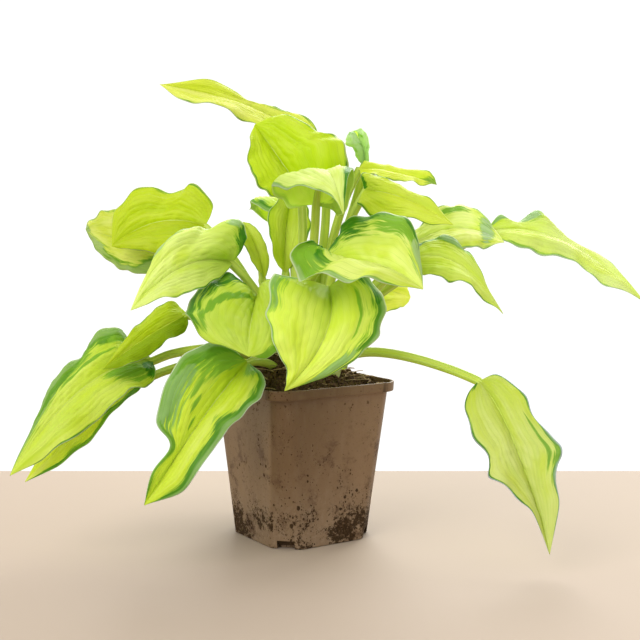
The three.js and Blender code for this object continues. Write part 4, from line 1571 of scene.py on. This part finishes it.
@dataclass
class Pot:
    """The nursery pot: a tapered square with cut corners under a stepped-out rim."""

    height: float = 98.0
    rim_height: float = 6.0
    wall: float = 1.2
    floor: float = 1.6
    base_half: float = 35.6
    base_corner: float = 13.4
    body_half: float = 41.8
    body_corner: float = 9.6
    rim_step: float = 3.2
    rim_corner: float = 11.0
    rounding: float = 0.85
    notch: Point = (8.0, 11.0, 10.0)
    crease: float = 40.0
    body_rows: int = 26
    side_columns: int = 36
    corner_columns: int = 18
    blur: int = 3

    def outline(self, half: Array, corner: Array, rounding: Array) -> Array:
        """Outlines of a square whose corners are cut straight (0) to round (1), edges eased.

        One quarter is a side and a corner, turned four times; a short running mean over the
        columns then eases the edges.

        Args:
            half: Half width of each row.
            corner: Length cut off each corner.
            rounding: How round each row's corners are.

        Returns:
            Points with shape (rows, columns, 2).
        """
        half, corner, rounding = half[:, None], corner[:, None], rounding[:, None]
        side = np.linspace(-1, 1, self.side_columns, endpoint=False)[None, 1:]
        share = np.linspace(0, 1, self.corner_columns)[None, :]
        angle = share * np.pi / 2
        bow = (1 - rounding) * (1 - share) + rounding * np.cos(angle)
        rise = (1 - rounding) * share + rounding * np.sin(angle)
        inner = half - corner
        x = np.concatenate([half + 0 * side, inner + corner * bow], axis=1)
        y = np.concatenate([inner * side, inner + corner * rise], axis=1)
        turns = ((1, 0), (0, 1), (-1, 0), (0, -1))
        quarters = [np.stack([c * x - s * y, s * x + c * y], axis=-1) for c, s in turns]
        ring = np.concatenate(quarters, axis=1)
        for _ in range(self.blur):
            ring = 0.25 * np.roll(ring, 1, axis=1) + 0.5 * ring + 0.25 * np.roll(ring, -1, axis=1)
        return ring

    def shoulder(self) -> float:
        """Height at which the rim starts."""
        return self.height - self.rim_height

    def wall_rows(self, z: Array, offset: float) -> Array:
        """Rows of the body's wall: half width, cut corner, height and rounding.

        Args:
            z: Heights.
            offset: How far inside the outer face.

        Returns:
            One row of four numbers for each height.
        """
        share = z / self.shoulder()
        half = self.base_half + (self.body_half - self.base_half) * share - offset
        corner = self.base_corner + (self.body_corner - self.base_corner) * share
        corner = corner - offset * (2 - math.sqrt(2))
        return np.stack([half, corner, z, self.rounding * share], axis=-1)

    def lip(self) -> Array:
        """Rows of the rim, from its lower edge over the lip to its step inside the pot.

        The table gives how far each row stands out from the body, and its height above the rim's
        lower edge; the last rows are the top edge and the inner face.

        Returns:
            One row of four numbers for each height.
        """
        low, top = self.shoulder(), self.height
        grow, z = np.array([
            (0.25, low - 0.1), (0.7, low), (2.6, low + 0.02), (3.0, low + 0.18), (3.2, low + 0.6),
            (3.25, low + 1.4), (3.45, top - 1.3), (3.48, top - 0.6), (3.38, top - 0.22), (3.05, top),
            (2.75, top + 0.02), (2.45, top - 0.1), (2.3, top - 0.5), (2.2, top - 2.0),
            (2.05, low + 1.6), (1.5, low + 1.2), (-0.6, low + 1.1),
        ]).T
        corner = self.rim_corner + (grow - self.rim_step) * 0.5
        return np.stack([self.body_half + grow, corner, z, np.full(len(z), self.rounding)], axis=-1)

    def profile(self) -> Array:
        """All rows from the foot up the outside, over the lip and down the inside.

        Returns:
            One row of four numbers for each height.
        """
        low = self.shoulder()
        foot = self.wall_rows(np.array([0.0, 0.0, 0.15, 0.5]), 0.0)
        foot[:, 0] -= (1.6, 0.7, 0.15, 0.0)
        body = np.linspace(3, low - 2, self.body_rows)
        outer = self.wall_rows(np.concatenate([[0.9], body, [low - 0.5]]), 0.0)
        inner = self.wall_rows(np.array([low, low - 2, low - 12, low / 2, self.floor]), self.wall)
        return np.vstack([foot, outer, self.lip(), inner])

    def shell(self) -> Shell:
        """The pot's body: its profile's rows carried round its outlines.

        Returns:
            The closed shell.
        """
        rows = self.profile()
        ring = self.outline(rows[:, 0], rows[:, 1], rows[:, 3])
        z = np.broadcast_to(rows[:, 2][:, None, None], (*ring.shape[:2], 1))
        ends = (np.zeros(3), np.array([0, 0, self.floor]))
        return loft(np.concatenate([ring, z], axis=-1), ring / 100, ends)

    def cut_notches(self, piece: bpy.types.Object) -> None:
        """Cuts the four drainage notches out of the foot's corners.

        Args:
            piece: The pot's object.
        """
        reach = (2 * self.base_half - self.base_corner) / math.sqrt(2)
        corners = np.array([(x, y, z) for x in (-1, 1) for y in (-1, 1) for z in (-1, 1)]) / 2.0
        block = corners * self.notch + (reach, 0, 0)
        box = np.array([[0, 1, 3, 2], [4, 6, 7, 5], [0, 4, 5, 1], [2, 3, 7, 6], [0, 2, 6, 4], [1, 5, 7, 3]])
        blocks = [spun(block, math.pi * (0.25 + 0.5 * quarter)) * MM for quarter in range(4)]
        mesh = bpy.data.meshes.new("notch_cutter")
        faces = [box + len(block) * quarter for quarter in range(4)]
        mesh.from_pydata(np.vstack(blocks).tolist(), [], np.vstack(faces).tolist())
        cutter = put("notch_cutter", mesh)
        cut = piece.modifiers.new("notches", "BOOLEAN")
        cut.object, cut.operation, cut.solver = cutter, "DIFFERENCE", "EXACT"
        graph = bpy.context.evaluated_depsgraph_get()
        finished = bpy.data.meshes.new_from_object(piece.evaluated_get(graph))
        piece.modifiers.clear()
        piece.data = finished
        bpy.data.objects.remove(cutter)

    def build(self) -> bpy.types.Object:
        """Makes the pot's piece.

        Returns:
            The new object.
        """
        piece = make_piece("fine_pot", [self.shell()], [PotFinish().build()], "pot", self.crease)
        self.cut_notches(piece)
        return piece


@dataclass
class Soil:
    """The potting soil: a crumbled mound, loose crumbs and bark chips on it, and bits of straw."""

    pot: Pot
    edge_drop: float = 0.7
    crown: float = 11.0
    lump: float = 13.0
    lump_at: tuple[float, float] = (-20.0, -3.0)
    lump_spread: float = 19.0
    flatness: float = 4.0
    billows: tuple[tuple[float, float], ...] = ((13.0, 0.9), (5.5, 0.8), (2.6, 0.5))
    tuft_at: tuple[float, float] = (30.0, -22.0)
    tuft_spread: float = 15.0
    gap: float = 1.0
    levels: tuple[float, ...] = (20.0, 45.0, 70.0)
    rings: int = 64
    crumbs: int = 2400
    chips: int = 150
    straws: int = 220
    tilt: float = 0.45
    crease: float = 35.0
    seed: int = 11

    def height(self, x: Array, y: Array, share: Array) -> Array:
        """Height of the mound: flat-topped, heaped up at one place, low at the wall.

        Args:
            x: First coordinate.
            y: Second coordinate.
            share: 0 at the middle to 1 at the wall.

        Returns:
            Heights above the pot's foot.
        """
        lump = bell(np.hypot(x - self.lump_at[0], y - self.lump_at[1]), self.lump_spread)
        rise = self.crown + self.lump * lump
        return self.pot.shoulder() - self.edge_drop + (1 - share**self.flatness) * rise

    def roughness(self, x: Array, y: Array) -> Array:
        """Crumbled relief of the mound: billows of three sizes, sharp in their valleys.

        A billow is the absolute value of a ripple, less one half.

        Args:
            x: First coordinate.
            y: Second coordinate.

        Returns:
            Height of the relief.
        """
        total = np.zeros_like(x)
        for level, (size, deep) in enumerate(self.billows):
            total += deep * (np.abs(ripple(x, y, self.seed + level, size)) - 0.5)
        return total

    def wall_ring(self, z: float) -> Array:
        """The soil's outline at a height, just inside the pot's wall."""
        row = self.pot.wall_rows(np.array([z]), self.pot.wall + self.gap)
        return self.pot.outline(row[:, 0], row[:, 1], row[:, 3])[0]

    def mound(self) -> Shell:
        """The soil's body: its outline from the pot's floor up, then rings shrinking to the top.

        Returns:
            The closed shell.
        """
        top = self.pot.shoulder() - self.edge_drop
        heights = (self.pot.floor + 0.4, *self.levels, top - 3)
        walls = [(self.wall_ring(z), z) for z in heights]
        sides = np.array([np.column_stack([ring, np.full(len(ring), z)]) for ring, z in walls])
        share = np.linspace(1, 0.012, self.rings)[:, None, None]
        plan = self.wall_ring(top)[None] * share
        x, y = plan[..., 0], plan[..., 1]
        z = self.height(x, y, share[..., 0]) + self.roughness(x, y) * smooth(1.0, 0.9, share[..., 0])
        rings = np.concatenate([sides, np.concatenate([plan, z[..., None]], axis=-1)])
        return loft(rings, rings[..., :2] / 100)

    def scatter(self, count: int, rng: np.random.Generator, reach: float = 0.97) -> Array:
        """Random points on the mound.

        Args:
            count: How many.
            rng: The random generator.
            reach: Largest share of the way to the wall.

        Returns:
            Points, one a row.
        """
        share = reach * np.sqrt(rng.uniform(0.0, 1.0, count))
        ring = self.wall_ring(self.pot.shoulder())
        plan = ring[rng.integers(0, len(ring), count)] * share[:, None]
        z = self.height(plan[:, 0], plan[:, 1], share)
        return np.column_stack([plan, z + self.roughness(plan[:, 0], plan[:, 1])])

    def lumps(self, places: Array, sizes: Array, rng: np.random.Generator) -> Shell:
        """Small jagged lumps: twenty-sided balls, stretched, jostled and turned at random.

        Args:
            places: Centre of each lump.
            sizes: Its three half sizes, one row each.
            rng: The random generator.

        Returns:
            One shell holding all the lumps, each of its own shade of brown.
        """
        g = (1 + math.sqrt(5)) / 2
        count = len(places)
        ball = np.array([
            (-1, g, 0), (1, g, 0), (-1, -g, 0), (1, -g, 0), (0, -1, g), (0, 1, g),
            (0, -1, -g), (0, 1, -g), (g, 0, -1), (g, 0, 1), (-g, 0, -1), (-g, 0, 1),
        ]) / math.hypot(1, g)
        faces = np.array([
            (0, 11, 5), (0, 5, 1), (0, 1, 7), (0, 7, 10), (0, 10, 11), (1, 5, 9), (5, 11, 4),
            (11, 10, 2), (10, 7, 6), (7, 1, 8), (3, 9, 4), (3, 4, 2), (3, 2, 6), (3, 6, 8),
            (3, 8, 9), (4, 9, 5), (2, 4, 11), (6, 2, 10), (8, 6, 7), (9, 8, 1),
        ])
        corners = len(ball)
        shade = rng.uniform(0, 1, count)
        jostled = ball[None] * rng.uniform(0.72, 1.28, (count, corners, 1)) * sizes[:, None]
        heading, tip, roll = rng.uniform(0, 2 * np.pi, count), *rng.normal(0, self.tilt, (2, count))
        turn = rotations(2, heading) @ rotations(0, tip) @ rotations(1, roll)
        points = np.einsum("nij,nkj->nki", turn, jostled) + places[:, None]
        whole = faces[None] + corners * np.arange(count)[:, None, None]
        shell = Shell(points.reshape(-1, 3), [whole.reshape(-1, 3)], np.zeros((count * corners, 2)))
        shell.values["shade"] = np.repeat(shade, corners)
        return shell.outward()

    def straw(self, start: Array, raised: bool, rng: np.random.Generator) -> Shell:
        """One bit of straw: a thin bent tube that lies on the soil or sticks out of it.

        Args:
            start: Where it starts.
            raised: Whether it is short and stands up.
            rng: The random generator.

        Returns:
            Its shell.
        """
        length, heading = rng.uniform(4, 9 if raised else 17), rng.uniform(0, 2 * np.pi)
        out = np.array([math.cos(heading), math.sin(heading), 0.0])
        lift = rng.uniform(-0.02, 0.22 if raised else 0.10)
        middle = start + out * length / 2 + (0, 0, rng.uniform(0.6, 1.8) + lift * length)
        end = start + out * length + (*rng.normal(0, 1.5, 2), lift * length)
        limit = self.pot.body_half - 1.5
        middle[:2], end[:2] = np.clip(middle[:2], -limit, limit), np.clip(end[:2], -limit, limit)
        path = bezier(np.array([start + (0, 0, 0.3), middle, end]), np.linspace(0, 1, 6))
        along = tangents(path)
        side = unit(np.cross(along, (0, 0, 1.0)))
        over = np.cross(side, along)
        angle = np.linspace(0, 2 * np.pi, 5, endpoint=False)[:, None]
        radius = rng.uniform(0.25, 0.65) * np.linspace(1, 0.7, len(path))[:, None, None]
        section = side[:, None] * np.cos(angle) + over[:, None] * np.sin(angle) * 0.6
        ring = path[:, None] + radius * section
        shell = loft(ring, np.zeros((*ring.shape[:2], 2)))
        shell.tell("shade", rng.uniform(0, 1))
        return shell

    def litter(self, count: int, rng: np.random.Generator) -> list[Shell]:
        """Bits of straw and root fibre, most of them in a tuft at one corner.

        Args:
            count: How many at the most.
            rng: The random generator.

        Returns:
            One shell for each.
        """
        starts = self.scatter(3 * count, rng, 0.94)
        tuft = np.hypot(starts[:, 0] - self.tuft_at[0], starts[:, 1] - self.tuft_at[1]) < self.tuft_spread
        kept = tuft | (rng.uniform(0, 1, 3 * count) < 0.25)
        return [self.straw(*pair, rng) for pair in zip(starts[kept][:count], tuft[kept][:count])]

    def build(self) -> None:
        """Makes the mound, the crumbs, the bark and the straw."""
        rng = np.random.default_rng(self.seed)
        peat = SoilFinish().build()
        mound = self.mound()
        mound.tell("shade", 0.35)
        make_piece("fine_soil", [mound], [peat], "soil")
        sizes = rng.uniform(0.45, 1.7, (self.crumbs, 1)) * rng.uniform(0.6, 1.2, (self.crumbs, 3))
        crumbs = self.lumps(self.scatter(self.crumbs, rng), sizes, rng)
        make_piece("soil_crumbs", [crumbs], [peat], crease=self.crease)
        bark = SoilFinish("soil_bark", (0.07, 0.036, 0.018), (0.26, 0.155, 0.075), 400.0).build()
        sizes = rng.uniform(1.2, 3.4, (self.chips, 1)) * (1.0, 0.45, 0.22)
        chips = self.lumps(self.scatter(self.chips, rng) + (0, 0, 0.5), sizes, rng)
        make_piece("soil_bark_chips", [chips], [bark], crease=self.crease)
        straw = SoilFinish("soil_straw", (0.30, 0.20, 0.10), (0.62, 0.48, 0.28), 300.0).build()
        make_piece("soil_straw", self.litter(self.straws, rng), [straw])


# ---------------------------------------------------------------- stage


@dataclass
class Stage:
    """The plain studio: a pale floor, a bright surround, soft lights and the camera.

    Places are in metres, in the plant's own frame.
    """

    camera_at: Point = (0.012, -0.7219, 0.196)
    pitch: float = 4.85
    lens: float = 65.16
    film: float = 36.0
    floor_width: float = 3.0
    floor_ends: tuple[float, float] = (-0.7, 0.18)
    floor_drop: float = 0.0002
    floor_colour: Colour = (0.355, 0.28, 0.215)
    surround: tuple[float, float] = (0.98, 1.12)
    surround_colour: Colour = (1.0, 0.995, 0.985)
    aim_drop: float = 0.15

    def floor(self) -> None:
        """Makes the floor: one plain slab's top, its back edge square to the view."""
        half = self.floor_width / 2
        plan = [(x, y, -self.floor_drop) for y in self.floor_ends for x in (-half, half)]
        mesh = bpy.data.meshes.new("floor")
        mesh.from_pydata(spun(plan, PLANT_TURN).tolist(), [], [(0, 1, 3, 2)])
        g = Graph("pale_floor")
        mesh.materials.append(g.close(g.shader(Base_Color=self.floor_colour, Roughness=0.7)))
        put("floor", mesh)

    def light(self, name: str, at: Point, size: float, power: float, colour: Colour) -> None:
        """Adds a square soft light that faces the plant.

        Args:
            name: Its name.
            at: Where it stands.
            size: Its edge in metres.
            power: Its power in watts.
            colour: Its colour.
        """
        lamp = bpy.data.lights.new(name, "AREA")
        lamp.size, lamp.energy, lamp.color = size, power, colour
        light = put(name, lamp)
        light.location = spun(at, PLANT_TURN)
        aim = light.location.copy()
        aim.z -= self.aim_drop
        light.rotation_euler = aim.to_track_quat("Z", "Y").to_euler()

    def camera(self) -> None:
        """Adds the camera at the front of the plant."""
        lens = bpy.data.cameras.new("camera")
        lens.lens, lens.sensor_width = self.lens, self.film
        camera = put("camera", lens)
        camera.location = spun(self.camera_at, PLANT_TURN)
        camera.rotation_euler = (math.radians(90 - self.pitch), 0, PLANT_TURN)
        bpy.context.scene.camera = camera

    def sky(self) -> None:
        """Makes the white surround, brighter behind the plant than in front of it."""
        world = bpy.data.worlds.new("studio")
        world.use_nodes = True
        nodes, links = world.node_tree.nodes, world.node_tree.links
        background = nodes["Background"]
        background.inputs["Color"].default_value = (*self.surround_colour, 1.0)
        ray = nodes.new("ShaderNodeTexCoord")
        toward = nodes.new("ShaderNodeVectorMath")
        toward.operation = "DOT_PRODUCT"
        toward.inputs[1].default_value = spun((0, 1, 0), PLANT_TURN)
        ramp = nodes.new("ShaderNodeMapRange")
        ramp.interpolation_type = "SMOOTHSTEP"
        for key, number in zip(("From Min", "From Max", "To Min", "To Max"), (-0.7, 0.7, *self.surround)):
            ramp.inputs[key].default_value = number
        links.new(ray.outputs["Generated"], toward.inputs[0])
        links.new(toward.outputs["Value"], ramp.inputs["Value"])
        links.new(ramp.outputs["Result"], background.inputs["Strength"])
        bpy.context.scene.world = world

    def build(self) -> None:
        """Makes the whole studio."""
        self.sky()
        bpy.context.scene.view_settings.view_transform = "Standard"
        self.floor()
        self.camera()
        self.light("key", (-0.9, -1.1, 1.3), 1.2, 21.0, (1.0, 0.985, 0.96))
        self.light("back", (0.35, 1.3, 1.25), 1.4, 40.0, (1.0, 0.99, 0.95))


def main() -> None:
    """Builds the pot, the soil, every leaf and the studio, in that order."""
    logging.basicConfig(level=logging.INFO, format="%(name)s: %(message)s")
    pot = Pot()
    pot.build()
    Soil(pot).build()
    blade, petiole = BladeFinish().build(), PetioleFinish().build()
    for number, form in enumerate(FORMS):
        Leaf(form, MARKS.get(form.name, Marks()), number + 1).build(blade, petiole)
    Stage().build()


if __name__ == "__main__":
    main()
